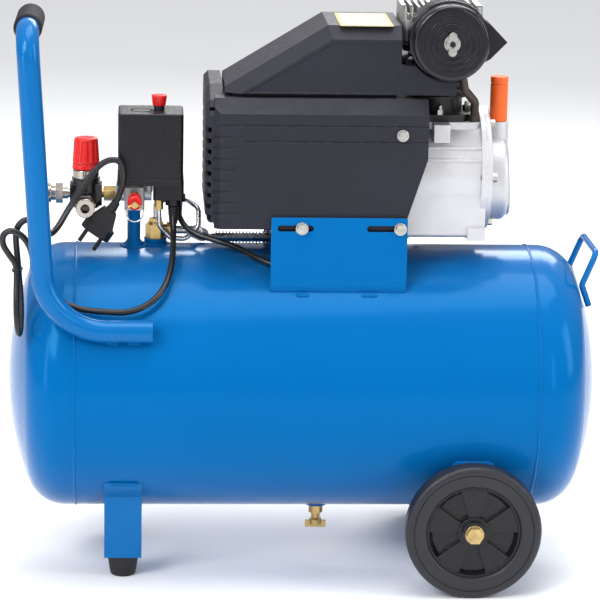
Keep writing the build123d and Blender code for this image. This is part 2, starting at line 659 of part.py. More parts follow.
def crankcase():
    case = along_axis(CASE_R, CASE_LEFT + 6, CASE_RIGHT)
    case -= block(CASE_LEFT, CASE_FLANGE_X, -60, 60, DECK_Z, 540)
    case += along_axis(CASE_R + 2, CASE_LEFT, CASE_LEFT + 7) - block(90, 130, -60, 60, DECK_Z, 540)
    deck = block(CASE_LEFT + 6, CASE_FLANGE_X, -DECK_HALF_Y, DECK_HALF_Y, PUMP_AXIS_Z + 20, DECK_Z)
    sump = block(CASE_LEFT + 2, CASE_RIGHT, -SUMP_HALF_Y, SUMP_HALF_Y, BASE_TOP, PUMP_AXIS_Z - 16)
    sump = fillet(sump.edges().filter_by(Axis.X).group_by(Axis.Z)[0], 6)
    case += fillet(deck.edges().filter_by(Axis.Z), 5) + sump
    for z in (411.0, 423.0, 477.0, 490.0):
        ridge = along_axis(CASE_R + 1.6, CASE_LEFT + 7, CASE_FLANGE_X)
        case += ridge & block(CASE_LEFT + 7, CASE_FLANGE_X, -80, 80, z - 1.5, z + 1.5)
    case += block(PISTON_X - 8, PISTON_X + 10, -CASE_R + 4, -40, 496, DECK_Z)
    case += along_axis(CASE_FLANGE_R, CASE_FLANGE_X, CASE_RIGHT)
    case += block(CASE_FLANGE_X - 14, CASE_RIGHT, -SUMP_HALF_Y - 4, SUMP_HALF_Y + 4, BASE_TOP - 2, BASE_TOP + 12)
    case -= along_axis(CAVITY_R, CASE_LEFT + CASE_WALL, CASE_RIGHT + 1)
    case -= cyl_z(BORE_R + 0.5, PUMP_AXIS_Z, DECK_Z + 1, x=PISTON_X)
    case -= along_axis(BEARING_R, CASE_LEFT + 4, CASE_LEFT + 4 + BEARING_W)
    case -= along_axis(BEARING_R - 3, CASE_LEFT - 1, CASE_LEFT + CASE_WALL + 1)
    for y, z in cover_screw_places():
        case -= cyl_x(2.5, CASE_FLANGE_X - 1, CASE_RIGHT + 1, y=y, z=z)
    return case


def cover_screw_places():
    places = []
    for i in range(6):
        angle = math.radians(60 * i)
        places.append((COVER_SCREW_R * math.cos(angle), PUMP_AXIS_Z + COVER_SCREW_R * math.sin(angle)))
    return places


def crank_cover():
    """The cast cover with its dome, the oil filler boss and the sight-glass boss."""
    x0 = CASE_RIGHT
    flange = along_axis(CASE_FLANGE_R, x0, x0 + COVER_FLANGE_T)
    flange = fillet(flange.edges().group_by(Axis.X)[-1], 2)
    dome = cyl_x(DOME_R, x0 + 2, DOME_RIGHT, z=DOME_Z)
    dome = fillet(dome.edges().group_by(Axis.X)[-1], 7)
    cover = flange + dome + cyl_x(26, DOME_RIGHT - 4, DOME_RIGHT + 4, z=DOME_Z - 18)
    cover += cyl_z(11.5, DOME_Z + 20, BOSS_TOP, x=BOSS_X, y=BOSS_Y)
    cover -= cyl_x(DOME_R - 5, x0 - 1, DOME_RIGHT - 5, z=DOME_Z)
    cover -= cyl_x(12, DOME_RIGHT, DOME_RIGHT + 5, z=DOME_Z - 18)
    cover -= cyl_x(8, DOME_RIGHT - 6, DOME_RIGHT + 5, z=DOME_Z - 18)
    cover -= cyl_z(7, DOME_Z + 10, BOSS_TOP + 1, x=BOSS_X, y=BOSS_Y)
    for y, z in cover_screw_places():
        cover -= cyl_x(3, x0 - 1, x0 + COVER_FLANGE_T + 1, y=y, z=z)
    return cover


def cover_screws():
    screws = []
    face = CASE_RIGHT + COVER_FLANGE_T
    for y, z in cover_screw_places():
        screw = cyl_x(2.5, CASE_FLANGE_X, face, y=y, z=z) + hex_x(9, face, face + 5, y, z)
        screws.append(screw)
    return screws


def oil_plug():
    """The orange filler cap with a breather, plugged into its boss."""
    cap = cyl_z(10, BOSS_TOP + 0.5, PLUG_TOP, x=BOSS_X, y=BOSS_Y)
    cap = fillet(cap.edges().group_by(Axis.Z)[-1], 2)
    cap = cap - cyl_z(12, PLUG_TOP - 9, PLUG_TOP - 7.5, x=BOSS_X, y=BOSS_Y)
    cap += cyl_z(9.2, PLUG_TOP - 10, PLUG_TOP - 6, x=BOSS_X, y=BOSS_Y)
    return cap + cyl_z(6.9, BOSS_TOP - 12, BOSS_TOP + 1, x=BOSS_X, y=BOSS_Y)


SHROUD_SCREW_X, SHROUD_SCREW_Z = 102.5, 509.0


def shroud_screws():
    """A washer-head screw on each side of the cover, into the motor flange."""
    shank = cyl_y(3, -SHROUD_HALF, -SHROUD_HALF + 12, x=SHROUD_SCREW_X, z=SHROUD_SCREW_Z)
    washer = cyl_y(6.6, -SHROUD_HALF - 1.5, -SHROUD_HALF, x=SHROUD_SCREW_X, z=SHROUD_SCREW_Z)
    head = hex_y(9, -SHROUD_HALF - 5.5, -SHROUD_HALF - 1.5, SHROUD_SCREW_X, SHROUD_SCREW_Z)
    screw = shank + washer + head
    return [screw, mirror_y(screw)]


CYL_FLANGE_T = 8.0
CYL_TOP = PISTON_CROWN + 1.0
PLATE_T = 5.0
HEAD_TOP = 645.0
HEAD_HALF_X = 45.0
HEAD_HALF_Y = 42.0
BOLT_OFFSETS = [(sx * 36, sy * 33) for sx in (-1, 1) for sy in (-1, 1)]
STUD_OFFSETS = [(0, -35), (0, 35), (-34.5, 0), (34.5, 0)]


def rounded_plate(half_x, half_y, z0, z1, radius):
    plate = block(PISTON_X - half_x, PISTON_X + half_x, -half_y, half_y, z0, z1)
    return fillet(plate.edges().filter_by(Axis.Z), radius)


def cylinder_barrel():
    """The finned cylinder with its base and top flanges."""
    barrel = rounded_plate(38, 39, DECK_Z, DECK_Z + CYL_FLANGE_T, 24)
    barrel += cyl_z(BORE_R + 5, DECK_Z, CYL_TOP, x=PISTON_X)
    barrel += rounded_plate(HEAD_HALF_X - 3, HEAD_HALF_Y - 3, CYL_TOP - 7, CYL_TOP, 8)
    z = DECK_Z + 25
    while z < CYL_TOP - 12:
        barrel += cyl_z(34, z, z + 2.5, x=PISTON_X)
        z += 7.5
    for dx, dy in BOLT_OFFSETS:
        barrel -= cyl_z(3.2, CYL_TOP - 20, CYL_TOP + 1, x=PISTON_X + dx, y=dy)
    for dx, dy in STUD_OFFSETS:
        barrel -= cyl_z(3, DECK_Z - 1, DECK_Z + CYL_FLANGE_T + 1, x=PISTON_X + dx, y=dy)
    return barrel - cyl_z(BORE_R, DECK_Z - 1, CYL_TOP + 1, x=PISTON_X)


def cylinder_nuts():
    nuts = []
    for dx, dy in STUD_OFFSETS:
        x = PISTON_X + dx
        base = DECK_Z + CYL_FLANGE_T
        nuts.append(cyl_z(3, DECK_Z, base + 10, x=x, y=dy) + hex_z(9, base, base + 6, x, dy))
    return nuts


def valve_plate():
    plate = rounded_plate(HEAD_HALF_X - 2, HEAD_HALF_Y - 2, CYL_TOP, CYL_TOP + PLATE_T, 8)
    for dx in (-12, 12):
        plate -= cyl_z(4, CYL_TOP - 1, CYL_TOP + PLATE_T + 1, x=PISTON_X + dx)
    for dx, dy in BOLT_OFFSETS:
        plate -= cyl_z(3.2, CYL_TOP - 1, CYL_TOP + PLATE_T + 1, x=PISTON_X + dx, y=dy)
    return plate


FIN_BASE = 630.0


def cylinder_head():
    """The cast head: two chambers below, upright fins above and four bolt pockets."""
    z0 = CYL_TOP + PLATE_T
    head = rounded_plate(HEAD_HALF_X, HEAD_HALF_Y, z0, HEAD_TOP, 8)
    x = PISTON_X - HEAD_HALF_X + 5
    while x < PISTON_X + HEAD_HALF_X - 6:
        head -= block(x, x + 4.2, -HEAD_HALF_Y - 1, HEAD_HALF_Y + 1, FIN_BASE, HEAD_TOP + 1)
        x += 7.4
    for dx, dy in BOLT_OFFSETS:
        head -= cyl_z(9, FIN_BASE, HEAD_TOP + 1, x=PISTON_X + dx, y=dy)
        head -= cyl_z(3.2, z0 - 1, FIN_BASE + 1, x=PISTON_X + dx, y=dy)
    head -= block(PISTON_X - 26, PISTON_X - 2, -22, 22, z0 - 1, z0 + 16)
    head -= block(PISTON_X + 2, PISTON_X + 26, -22, 22, z0 - 1, z0 + 16)
    head -= cyl_y(7, -HEAD_HALF_Y - 1, 0, x=FILTER_X + 5, z=FILTER_Z)
    return head - cyl_y(5, 0, HEAD_HALF_Y + 1, x=PISTON_X - 12, z=TUBE_HEAD_Z)


def head_bolts():
    bolts = []
    for dx, dy in BOLT_OFFSETS:
        x = PISTON_X + dx
        bolts.append(cyl_z(3.2, CYL_TOP - 6, FIN_BASE, x=x, y=dy) + hex_z(12, FIN_BASE, FIN_BASE + 7, x, dy))
    return bolts


TUBE_HEAD_Z = 614.0

save(crankcase(), "crankcase")
save(crank_cover(), "crankcase_cover")
save(cyl_x(12, DOME_RIGHT, DOME_RIGHT + 5.5, z=DOME_Z - 18), "oil_sight_glass")
save(oil_plug(), "oil_filler_plug")
save(cylinder_barrel(), "cylinder_barrel")
save(Compound([cylinder_head(), valve_plate()]), "cylinder_head")
save(Compound(bracket_screws() + pad_screws() + cover_screws() + cylinder_nuts() + head_bolts() + shroud_screws()),
     "hex_fasteners")

# ---------------------------------------------------------------- air filter
HOUSING_BACK = -HEAD_HALF_Y
HOUSING_FRONT = -74.0
FILTER_RING_R = 44.5
STUD_R = 3.0
ELBOW_PLACE = (187.5, -33.0)  # where the breather elbow leaves the crankcase deck


def filter_axis(radius, y0, y1):
    return cyl_y(radius, y0, y1, x=FILTER_X, z=FILTER_Z)


def filter_housing():
    """The back of the air filter, with its intake snout and the cap's stud."""
    body = filter_axis(FILTER_RING_R, HOUSING_FRONT, HOUSING_BACK)
    body = fillet(body.edges().filter_by(GeomType.CIRCLE), 2.5)
    snout = prism_y([(FILTER_X + 30, FILTER_Z + 27), (FILTER_X + 44, FILTER_Z + 19), (FILTER_X + 62.5, FILTER_Z),
                     (FILTER_X + 44, FILTER_Z - 19), (FILTER_X + 30, FILTER_Z - 27)], HOUSING_FRONT - 8, HOUSING_BACK - 6)
    snout -= filter_axis(FILTER_RING_R - 4, HOUSING_FRONT - 20, HOUSING_BACK - 4)
    snout -= filter_axis(FILTER_R + 0.5, HOUSING_FRONT - 20, HOUSING_FRONT)
    body -= filter_axis(FILTER_RING_R - 3, HOUSING_FRONT - 1, HOUSING_BACK - 4)
    body += snout
    body += filter_axis(STUD_R, FILTER_FRONT - 9, HOUSING_BACK - 3)
    return body - cyl_y(7, HOUSING_BACK - 5, HOUSING_BACK + 1, x=FILTER_X + 5, z=FILTER_Z)


def filter_cap():
    cap = filter_axis(FILTER_R, FILTER_FRONT, HOUSING_FRONT)
    cap = fillet(cap.edges().group_by(Axis.Y)[0], 5)
    for outer in (31, 24.5, 17.5):
        cap -= filter_axis(outer, FILTER_FRONT - 1, FILTER_FRONT + 1.2) - filter_axis(outer - 3, FILTER_FRONT - 2, FILTER_FRONT + 2)
    cap -= filter_axis(FILTER_R - 2.5, FILTER_FRONT + 3, HOUSING_FRONT + 1)
    return cap - filter_axis(STUD_R + 0.3, FILTER_FRONT - 2, FILTER_FRONT + 4)


def filter_element():
    return filter_axis(36, FILTER_FRONT + 4, HOUSING_BACK - 5) - filter_axis(20, FILTER_FRONT + 3, HOUSING_BACK - 4)


def wing_nut():
    front = FILTER_FRONT - 0.4
    nut = filter_axis(6.5, front - 6, front) + filter_axis(9, front - 1.2, front)
    for side in (-1, 1):
        wing = Pos(FILTER_X, front - 5, FILTER_Z + side * 8.5) * Rot(90, 0, 0) * Cylinder(4.6, 3)
        nut += wing
    return nut - filter_axis(STUD_R + FIT, front - 12, front + 2)


def breather_elbow():
    """The brown rubber elbow from the crankcase deck to the filter housing."""
    x, y = ELBOW_PLACE
    points = [(x, y, DECK_Z), (x, y, DECK_Z + 22), (174, -48, DECK_Z + 38), (169, -58, DECK_Z + 60)]
    hose = pipe(points, [8, 8], 4.8) + cyl_z(5.8, DECK_Z, DECK_Z + 8, x=x, y=y)
    return hose - filter_axis(FILTER_RING_R, HOUSING_FRONT - 2, HOUSING_BACK)


save(filter_housing(), "filter_housing")
save(filter_cap(), "filter_cap")
save(filter_element(), "filter_element")
save(wing_nut(), "filter_wing_nut")
save(breather_elbow(), "breather_elbow")

# ---------------------------------------------------------------- pump cover and air duct
LOUVRE_PITCH = 12.2
LOUVRE_COUNT = 11
LOUVRE_Z0 = 412.0
GRILLE_LEFT = -114.0
CHAMFER_Z = 531.5
CHAMFER_Y = 76.0
PANEL_DEPTH = 0.9


def cover_section(shrink, bottom, top):
    """The (y, z) outline of the pump cover, drawn in by a wall thickness."""
    half, edge = SHROUD_HALF - shrink, CHAMFER_Y - shrink * 0.6
    return [(-half, bottom), (-half, CHAMFER_Z - shrink * 0.4), (-edge, top), (edge, top),
            (half, CHAMFER_Z - shrink * 0.4), (half, bottom)]


def shroud():
    """The lower cover: an open-bottomed shell with a louvred, bulged fan end."""
    shell = prism_x(cover_section(0, SHROUD_BOTTOM, SHROUD_TOP), SHROUD_LEFT, SHROUD_RIGHT)
    bulge_top = SHROUD_TOP + 9
    bulge = prism_x([(-84, SHROUD_BOTTOM + 6), (-84, 528), (-66, SHROUD_TOP - 4), (-30, bulge_top), (70, bulge_top),
                     (84, 540), (84, SHROUD_BOTTOM + 6)], GRILLE_LEFT, SHROUD_LEFT + 9)
    bulge = chamfer(bulge.faces().sort_by(Axis.X)[0].edges(), 5)
    corner = shell.edges().filter_by(Axis.Z).group_by(Axis.X)[0]
    shell = chamfer(corner, 6)
    shell += bulge
    inner = prism_x(cover_section(SHROUD_WALL, SHROUD_BOTTOM - 1, SHROUD_TOP - SHROUD_WALL), SHROUD_LEFT + 7,
                    SHROUD_RIGHT + 1)
    end_room = block(GRILLE_LEFT + 4, SHROUD_LEFT + 8, -78, 78, SHROUD_BOTTOM + 10, 536)
    shell -= inner + end_room
    shell -= block(SHROUD_LEFT - 20, SHROUD_LEFT + 30, -100, 100, SHROUD_BOTTOM - 5, SHROUD_BOTTOM)
    cut = [(SHROUD_RIGHT + 5, 482), (SHROUD_RIGHT, 482), (110, 417), (110, 395), (SHROUD_RIGHT + 5, 395)]
    shell -= prism_y(cut, -100, 100)
    shell -= block(-80, 92, -55, 55, SHROUD_TOP - 5, SHROUD_TOP + 1)
    shell -= cyl_z(37, SHROUD_TOP - 10, SHROUD_TOP + 1, x=PISTON_X)
    for i in range(LOUVRE_COUNT):
        z = LOUVRE_Z0 + LOUVRE_PITCH * i
        width = 70 if z < 525 else 40
        shell -= block(GRILLE_LEFT - 1, SHROUD_LEFT + 8, -width, width, z, z + 5.5)
        if z < 515:
            shell -= block(GRILLE_LEFT - 1, SHROUD_LEFT - 3.5, -90, 90, z, z + 5.5)
    wedge = Solid.extrude(make_face(Polyline((0, -1, 0.3), (0, 1.8, 0.3), (0, -1, -9.5), close=True)).face(),
                          Vector(44, 0, 0))
    for i in range(8):
        z = 421.0 + LOUVRE_PITCH * i
        louvre = Pos(SHROUD_LEFT + 3, -SHROUD_HALF, z) * Rot(0, 0, -2.9) * wedge
        notch = Pos(SHROUD_LEFT - 1, -SHROUD_HALF + 7, z) * Rot(0, 0, -45) * wedge
        notch &= block(SHROUD_LEFT - 2, SHROUD_LEFT + 9, -SHROUD_HALF - 2, -SHROUD_HALF + 9, z - 12, z + 3)
        shell -= louvre + notch
        shell -= mirror_y(louvre) + mirror_y(notch)
    for z0, x0 in ((518.0, SHROUD_LEFT), (500.5, SHROUD_LEFT + 34)):
        for y0 in (-SHROUD_HALF - 1, SHROUD_HALF - 0.9):
            shell -= block(x0, SHROUD_RIGHT + 1, y0, y0 + 1.9, z0, z0 + 1.6)
    for x in SCREW_XS:
        shell -= cyl_y(3.2, -120, 120, x=x, z=SLOT_Z)
    return shell - cyl_y(3, -120, 120, x=SHROUD_SCREW_X, z=SHROUD_SCREW_Z)


DUCT_BOTTOM = SHROUD_TOP + 4.0
DUCT_WALL = 2.5
DUCT_TIP_X = -93.0
DUCT_SLOPE_X = 20.0
DUCT_END_X = 101.0
DUCT_TAIL_X = 162.0
DUCT_TAIL_TOP = 583.0


def air_duct():
    """The upper duct that carries the fan's air over the cylinder, with a low tail beside it."""
    slope_height = DUCT_TOP - DUCT_BOTTOM - 6
    outline = [(DUCT_TIP_X, DUCT_BOTTOM), (DUCT_TIP_X, DUCT_BOTTOM + 6), (DUCT_SLOPE_X, DUCT_BOTTOM + 6 + slope_height),
               (DUCT_END_X, DUCT_TOP), (DUCT_END_X, DUCT_BOTTOM)]
    body = prism_y(outline, -DUCT_HALF, DUCT_HALF)
    sides = [edge for edge in body.edges() if abs(abs(edge.center().Y) - DUCT_HALF) < 0.1 and edge.center().Z > 580]
    slopes = [edge for edge in sides if abs((edge % 0.5).Y) < 0.1 and abs((edge % 0.5).X) > 0.5]
    body = chamfer(slopes, 14)
    body -= prism_y([(DUCT_TIP_X + 16, DUCT_BOTTOM - 1), (DUCT_TIP_X + 16, DUCT_BOTTOM + 7),
                     (DUCT_SLOPE_X, DUCT_TOP - DUCT_WALL), (DUCT_END_X + 1, DUCT_TOP - DUCT_WALL),
                     (DUCT_END_X + 1, DUCT_BOTTOM - 1)], -DUCT_HALF + 14.5, DUCT_HALF - 14.5)
    body -= prism_y([(DUCT_TIP_X + 30, DUCT_BOTTOM - 1), (DUCT_TIP_X + 30, DUCT_BOTTOM + 4),
                     (DUCT_SLOPE_X + 6, DUCT_TOP - 17), (DUCT_END_X + 1, DUCT_TOP - 17),
                     (DUCT_END_X + 1, DUCT_BOTTOM - 1)], -DUCT_HALF + DUCT_WALL, DUCT_HALF - DUCT_WALL)
    panel = [(DUCT_TIP_X + 26, DUCT_BOTTOM + 2), (DUCT_SLOPE_X + 6, DUCT_TOP - 17.5), (DUCT_END_X - 1, DUCT_TOP - 17.5),
             (DUCT_END_X - 1, DUCT_BOTTOM + 2)]
    for y0 in (-DUCT_HALF - 1, DUCT_HALF - PANEL_DEPTH):
        body -= prism_y(panel, y0, y0 + 1 + PANEL_DEPTH)
    tail = block(DUCT_END_X - 2, DUCT_TAIL_X, -DUCT_HALF, DUCT_HALF, DUCT_BOTTOM, DUCT_TAIL_TOP)
    inner_half = DUCT_HALF - DUCT_WALL
    tail -= block(DUCT_END_X - 3, DUCT_TAIL_X + 1, -inner_half, inner_half, DUCT_BOTTOM - 1, DUCT_TAIL_TOP - DUCT_WALL)
    tail -= block(DUCT_END_X - 3, DUCT_END_X + 8, -56, 56, DUCT_TAIL_TOP - 5, DUCT_TAIL_TOP + 1)
    body += tail
    body -= cyl_z(40, DUCT_BOTTOM - 1, DUCT_TOP - 20, x=PISTON_X)
    body -= cyl_y(FILTER_RING_R + 1.5, -110, -36, x=FILTER_X, z=FILTER_Z)
    neck = block(-84, 97, -62, 62, SHROUD_TOP, DUCT_BOTTOM + 1) - block(-81, 98, -59, 59, SHROUD_TOP - 1, DUCT_BOTTOM + 2)
    body += neck
    return body


save(shroud(), "pump_shroud")
save(air_duct(), "air_duct")

# ---------------------------------------------------------------- discharge tube, check valve and unloader tube
TUBE_OUT_R = 5.0
FIN_R = 7.9
FIN_PITCH = 3.9
FIN_T = 1.4
RUN_Y, RUN_Z = 70.0, 361.0
RUN_LEFT, RUN_RIGHT = -108.0, 100.0
VALVE_Z = TANK_TOP + 6.0
PORT_Z = VALVE_Z + 9.5
TUBE_ROUTE = [
    (PISTON_X - 12, HEAD_HALF_Y - 2, TUBE_HEAD_Z),
    (PISTON_X - 12, 84, TUBE_HEAD_Z),
    (PISTON_X - 8, 84, 372),
    (118, RUN_Y, RUN_Z),
    (RUN_LEFT, RUN_Y, RUN_Z),
    (CHECK_X + 40, CHECK_Y, PORT_Z),
    (CHECK_X + 18, CHECK_Y, PORT_Z),
]


def fin_comb(length):
    """A row of round fins on a thin sleeve along +X from the origin."""
    outline = [(0, TUBE_OUT_R)]
    x = 0.0
    root = TUBE_OUT_R + 0.6
    while x + FIN_PITCH < length:
        outline += [(x, FIN_R), (x + FIN_T, FIN_R), (x + FIN_T, root), (x + FIN_PITCH, root)]
        x += FIN_PITCH
    outline += [(x, TUBE_OUT_R)]
    face = make_face(Polyline([(px, py, 0) for px, py in outline], close=True))
    return revolve(face, axis=Axis.X)


def discharge_tube():
    tube = pipe(TUBE_ROUTE, [16, 18, 14, 12, 9], TUBE_OUT_R)
    inner = pipe(TUBE_ROUTE, [16, 18, 14, 12, 9], TUBE_OUT_R - 1)
    return tube - inner


def discharge_fins():
    """Aluminium fins pressed on the straight run and on the slanted stretch beside the check valve."""
    straight = Pos(RUN_LEFT + 10, RUN_Y, RUN_Z) * fin_comb(RUN_RIGHT - RUN_LEFT - 10)
    start, end = Vector(*TUBE_ROUTE[4]), Vector(*TUBE_ROUTE[5])
    run = end - start
    plane = Plane(origin=start + run * 0.28, x_dir=run, z_dir=run.cross(Vector(0, 0, 1)))
    slanted = plane.location * fin_comb(run.length * 0.44)
    return [straight, slanted]


def check_valve():
    """A brass check valve screwed into its boss, with a side port and a domed cap."""
    body = hex_z(20, VALVE_Z, VALVE_Z + 16, CHECK_X, CHECK_Y)
    body += cyl_z(9.5, VALVE_Z + 16, VALVE_Z + 18, x=CHECK_X, y=CHECK_Y)
    body += hex_z(13, VALVE_Z + 18, VALVE_Z + 23, CHECK_X, CHECK_Y)
    body += cyl_z(6, VALVE_Z - 10, VALVE_Z, x=CHECK_X, y=CHECK_Y)
    body += cyl_x(7, CHECK_X + 6, CHECK_X + 14, y=CHECK_Y, z=PORT_Z)
    body += hex_x(15, CHECK_X + 13, CHECK_X + 23, CHECK_Y, PORT_Z)
    body -= cyl_x(TUBE_OUT_R, CHECK_X + 18, CHECK_X + 24, y=CHECK_Y, z=PORT_Z)
    body -= cyl_z(3, VALVE_Z + 20, VALVE_Z + 24, x=CHECK_X, y=CHECK_Y)
    return body - cyl_z(3, VALVE_Z - 11, VALVE_Z + 10, x=CHECK_X, y=CHECK_Y)


UNLOADER_X = -164.5
UNLOADER_Y = 0.0
UNLOADER_TOP = 430.0
UNLOADER_LOW = 407.0


def unloader_tube():
    """The thin bleed tube: a loop from the unloader fitting round to the check valve's cap."""
    points = [
        (UNLOADER_X, UNLOADER_Y, UNLOADER_LOW),
        (UNLOADER_X + 1, UNLOADER_Y, 388),
        (UNLOADER_X + 13, UNLOADER_Y + 2, 374),
        (-134, 4, 372),
        (-119, 10, 385),
        (-119, 16, 405),
        (-133, 29, 413),
        (-154, 30, 413),
        (CHECK_X, CHECK_Y, 411),
        (CHECK_X, CHECK_Y, VALVE_Z + 20),
    ]
    return pipe(points, [9, 9, 12, 10, 10, 9, 6, 5], 2.9)


def unloader_fitting():
    body = hex_z(9, UNLOADER_LOW, UNLOADER_LOW + 11, UNLOADER_X, UNLOADER_Y)
    return body + cyl_z(3.2, UNLOADER_LOW + 11, UNLOADER_TOP, x=UNLOADER_X, y=UNLOADER_Y)


save(Compound([discharge_tube()] + discharge_fins()), "discharge_tube")
save(unloader_tube(), "unloader_tube")

# ---------------------------------------------------------------- manifold, safety valve and pressure switch
SAFETY_Z = 424.0
SAFETY_X = RISER_X + 1.0
PIN_TIP = -66.0
RING_R = 9.5
GLAND_R = 9.0
POWER_GLAND = (-148.0, -8.0)
MOTOR_GLAND = (-143.0, 14.0)
GLAND_LOW = 412.0
COVER_BASE_Z = SWITCH_Z + 7.0
COVER_TOP_Z = SWITCH_Z + SWITCH_H
BUTTON_X, BUTTON_Y = -164.7, -2.0
BUTTON_TRAVEL = 5.0


def manifold():
    """The cast five-way block between riser, switch, regulator, safety valve and bleed."""
    core = block(RISER_X - 11, RISER_X + 12, -13, 13, MANIFOLD_Z - 13, MANIFOLD_Z + 13)
    core = fillet(core.edges().filter_by(Axis.Z), 4)
    core += cyl_x(8.5, RISER_X - 21, RISER_X - 11, z=REG_Z) + cyl_x(8, RISER_X + 12, RISER_X + 20, z=REG_Z)
    core += hex_z(18, MANIFOLD_Z + 13, SWITCH_Z, RISER_X, 0)
    core += cyl_y(8.5, -17, -13, x=SAFETY_X, z=SAFETY_Z)
    for x in (RISER_X - 16, RISER_X + 17):
        core += cyl_z(4, REG_Z + 4, SWITCH_Z, x=x, y=-8)
    core -= cyl_z(4.5, MANIFOLD_Z - 14, SWITCH_Z + 1, x=RISER_X)
    return core - cyl_x(4, RISER_X - 22, RISER_X, z=REG_Z)


def safety_valve():
    """The brass relief valve with its red cap."""
    body = hex_y(14, -26, -17, SAFETY_X, SAFETY_Z) + cyl_y(5.6, -34, -26, x=SAFETY_X, z=SAFETY_Z)
    cap = cyl_y(8.2, -54, -34, x=SAFETY_X, z=SAFETY_Z)
    cap = fillet(cap.edges().group_by(Axis.Y)[0], 3)
    return (body + cap) - cyl_y(2.4, -56, -30, x=SAFETY_X, z=SAFETY_Z)


def safety_pin():
    """The pull pin with its hanging key ring."""
    pin = cyl_y(2.3, PIN_TIP, -32, x=SAFETY_X, z=SAFETY_Z) + cyl_y(3.6, PIN_TIP, -58, x=SAFETY_X, z=SAFETY_Z)
    ring = Pos(SAFETY_X, PIN_TIP + 3.5, SAFETY_Z - RING_R) * Rot(90, 0, 0) * Torus(RING_R, 0.9)
    return pin + ring


def switch_base():
    """The switch's floor plate with the terminal block and two cable glands."""
    half_w, half_d = SWITCH_W / 2, SWITCH_D / 2
    plate = block(SWITCH_X - half_w - 0.8, SWITCH_X + half_w + 0.8, -half_d - 0.8, half_d + 0.8, SWITCH_Z, COVER_BASE_Z)
    plate = fillet(plate.edges().filter_by(Axis.Z), 4)
    terminal = block(-171, -136.5, -20, 23, 421, SWITCH_Z)
    terminal = fillet(terminal.edges().filter_by(Axis.Z), 3)
    base = plate + terminal
    for x, y in (POWER_GLAND, MOTOR_GLAND):
        base += cyl_z(GLAND_R, GLAND_LOW + 2, 422, x=x, y=y)
        base -= cyl_z(4.2, GLAND_LOW, GLAND_LOW + 4, x=x, y=y)
    base -= cyl_z(3.2, 418, UNLOADER_TOP, x=UNLOADER_X, y=UNLOADER_Y)
    return base - cyl_z(4.5, SWITCH_Z - 1, COVER_BASE_Z - 3, x=RISER_X)


def switch_cover():
    """The box-shaped cover with a dished recess and a hole for the button."""
    half_w, half_d = SWITCH_W / 2, SWITCH_D / 2
    cover = block(SWITCH_X - half_w, SWITCH_X + half_w, -half_d, half_d, COVER_BASE_Z, COVER_TOP_Z)
    cover = fillet(cover.edges().filter_by(Axis.Z), 4)
    cover = fillet(cover.edges().group_by(Axis.Z)[-1], 2.5)
    cover -= block(SWITCH_X - half_w + 2, SWITCH_X + half_w - 2, -half_d + 2, half_d - 2, COVER_BASE_Z - 1,
                   COVER_TOP_Z - 4)
    cover -= cyl_z(13, COVER_TOP_Z - 1.2, COVER_TOP_Z + 1, x=SWITCH_X - 10, y=-4) - \
        cyl_z(10.5, COVER_TOP_Z - 2, COVER_TOP_Z + 1, x=SWITCH_X - 10, y=-4)
    cover -= cyl_z(2.6, COVER_TOP_Z - 3, COVER_TOP_Z + 1, x=SWITCH_X - 2, y=-18)
    return cover - cyl_z(6.5, COVER_TOP_Z - 6, COVER_TOP_Z + 1, x=BUTTON_X, y=BUTTON_Y)


def on_off_button():
    """The red pull-up, push-down knob on its black stem."""
    foot = COVER_TOP_Z + BUTTON_TRAVEL + 0.4
    cap = Pos(BUTTON_X, BUTTON_Y, foot + 6) * Cone(7.2, 9, 12)
    cap = fillet(cap.edges().group_by(Axis.Z)[-1], 1.5)
    return cap + cyl_z(6, COVER_TOP_Z - 14, foot + 1, x=BUTTON_X, y=BUTTON_Y)


def switch_mechanism():
    """The contact block, the range spring's housing and the diaphragm cup on the floor plate."""
    cup = cyl_z(13, COVER_BASE_Z, COVER_BASE_Z + 14, x=RISER_X + 3, y=0)
    contacts = block(-176, -144, -22, 18, COVER_BASE_Z, COVER_TOP_Z - 21)
    spring_can = cyl_z(8, COVER_BASE_Z + 14, COVER_TOP_Z - 18, x=RISER_X + 3, y=0)
    return Compound([cup + spring_can, contacts])


save(manifold(), "manifold")
save(safety_valve(), "safety_valve")
save(safety_pin(), "safety_pull_pin")
save(switch_base(), "switch_base")
save(switch_cover(), "switch_cover")
save(on_off_button(), "on_off_button")
save(switch_mechanism(), "switch_mechanism")

# ---------------------------------------------------------------- regulator and couplers
REG_BODY_R = 16.0
REG_LOW = 409.0
REG_BODY_TOP = 443.5
COLLAR_TOP = 453.5
KNOB_TOP = 489.0
FRONT_PORT_Z = 418.0
SLEEVE_TRAVEL = 4.0
SLEEVE_R = 10.8
COUPLER_R = 8.2
COUPLER_BORE = 5.2
NIPPLE_LEFT = REG_X + 20.0


def regulator_body():
    """The black regulator casting with its side ports and the spring bonnet's thread."""
    body = cyl_z(REG_BODY_R, REG_LOW, REG_BODY_TOP, x=REG_X)
    body = fillet(body.edges().group_by(Axis.Z)[0], 3)
    body += block(REG_X - 18, REG_X + 18, -12, 12, REG_Z - 12, REG_Z + 12)
    body += cyl_y(11, -20, -8, x=REG_X, z=FRONT_PORT_Z)
    body += cyl_z(5, REG_BODY_TOP, COLLAR_TOP + 14, x=REG_X)
    for x0, x1 in ((REG_X - 19, REG_X - 8), (REG_X + 8, REG_X + 19)):
        body -= cyl_x(5, x0, x1, z=REG_Z)
    return body - cyl_y(5, -21, -8, x=REG_X, z=FRONT_PORT_Z)


def regulator_collar():
    ring = cyl_z(14.8, REG_BODY_TOP, COLLAR_TOP - 0.4, x=REG_X)
    ring = fillet(ring.edges().group_by(Axis.Z)[-1], 1.5)
    return ring - cyl_z(5, REG_BODY_TOP - 1, COLLAR_TOP + 1, x=REG_X)


